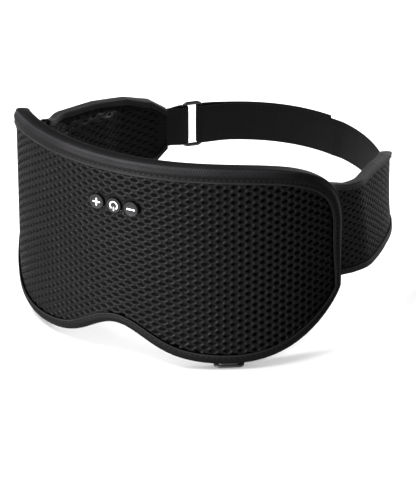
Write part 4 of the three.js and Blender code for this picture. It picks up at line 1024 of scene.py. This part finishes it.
def button_cap(name, x):
    """A rubber cap with a rounded rim and a shallow dish in its face."""
    profile = [(CAP_BACK, 0.02), (CAP_BACK, 0.90), (CAP_BACK + 0.05, 0.985), (CAP_BACK - 0.15, 1.0),
               (CAP_FACE + 0.45, 1.0), (CAP_FACE + 0.2, 0.985), (CAP_FACE + 0.06, 0.94), (CAP_FACE, 0.88),
               (CAP_FACE + 0.05, 0.80), (CAP_FACE + 0.17, 0.72), (CAP_FACE + DISH, 0.6), (CAP_FACE + DISH, 0.3),
               (CAP_FACE + DISH, 0.02)]
    rings = [[(x + CAP_RADIUS * k * u, y, BUTTON_LEVEL + CAP_RADIUS * k * v) for u, v in disc_points(1, 64)]
             for y, k in profile]
    cap = loft(name, np.array(rings) * MM)
    cap.data.materials.append(RUBBER)
    return cap


def inlay(name, outline, x):
    """A printed sign that stands a little out of the cap's dished face."""
    sign = bar(name, outline, x, [(-75.72, 1), (-75.85, 1), (-75.9, 0.985)])
    sign.data.materials.append(GLYPH)
    return sign


def arc_outline(radius, half, start, end):
    turn = np.radians(np.linspace(start, end, 40))
    circle = np.stack([np.cos(turn), np.sin(turn)], -1)
    return np.concatenate([(radius + half) * circle, (radius - half) * circle[::-1]])


SIGNS = {
    "plus": [rounded_section(3.7, 0.66, 0.2), rounded_section(0.66, 3.7, 0.2)],
    "power": [arc_outline(1.85, 0.27, -52, 232), rounded_section(0.55, 1.9, 0.2) + (0, -1.6)],
    "minus": [rounded_section(4.1, 0.7, 0.2)],
}
for label, x in BUTTONS.items():
    cap = button_cap(f"{label}_button_cap", x)
    place(cap, f"{label}_button", "button_rubber", f"{label}_button")
    for number, outline in enumerate(SIGNS[label]):
        place(inlay(f"{label}_sign_{number}", outline, x), f"{label}_button", "button_rubber")


# ---------------- CAD nodes that keep their shape

def both(*names):
    return [f"{side}_{name}" for side in ("left", "right") for name in names]


KEPT = {
    FOAM: ["foam_shell"],
    PLASTIC: ["control_case_front", "control_case_back", "port_bezel", *both("speaker_frame"),
              *(f"{label}_plunger" for label in BUTTONS)],
    BOARD: ["control_board", "charge_board", *both("motor_base")],
    FOIL: ["battery"],
    STEEL: [*(f"{label}_switch" for label in BUTTONS), "usb_socket", *both("motor_can", "speaker_magnet")],
    TUNGSTEN: both("motor_weight"),
    FILM: both("heating_film"),
    JACKET: [*both("speaker_harness", "film_lead", "motor_lead"), "charge_lead"],
    CONE: both("speaker_cone"),
}
# Widths in mm of the bevels that soften moulded edges.
ROUNDED = {"port_bezel": 0.25, "usb_socket": 0.1, "control_case_front": 0.3, "control_case_back": 0.3,
           "battery": 0.4}
for material, names in KEPT.items():
    for name in names:
        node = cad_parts[name]
        if not node.material_slots:
            node.data.materials.append(material)
        for slot in node.material_slots:
            slot.material = material
        if name in ROUNDED:
            edge = node.modifiers.new("soft_edges", "BEVEL")
            edge.width, edge.segments = ROUNDED[name] * MM, 2
            edge.limit_method, edge.angle_limit = "ANGLE", math.radians(40)
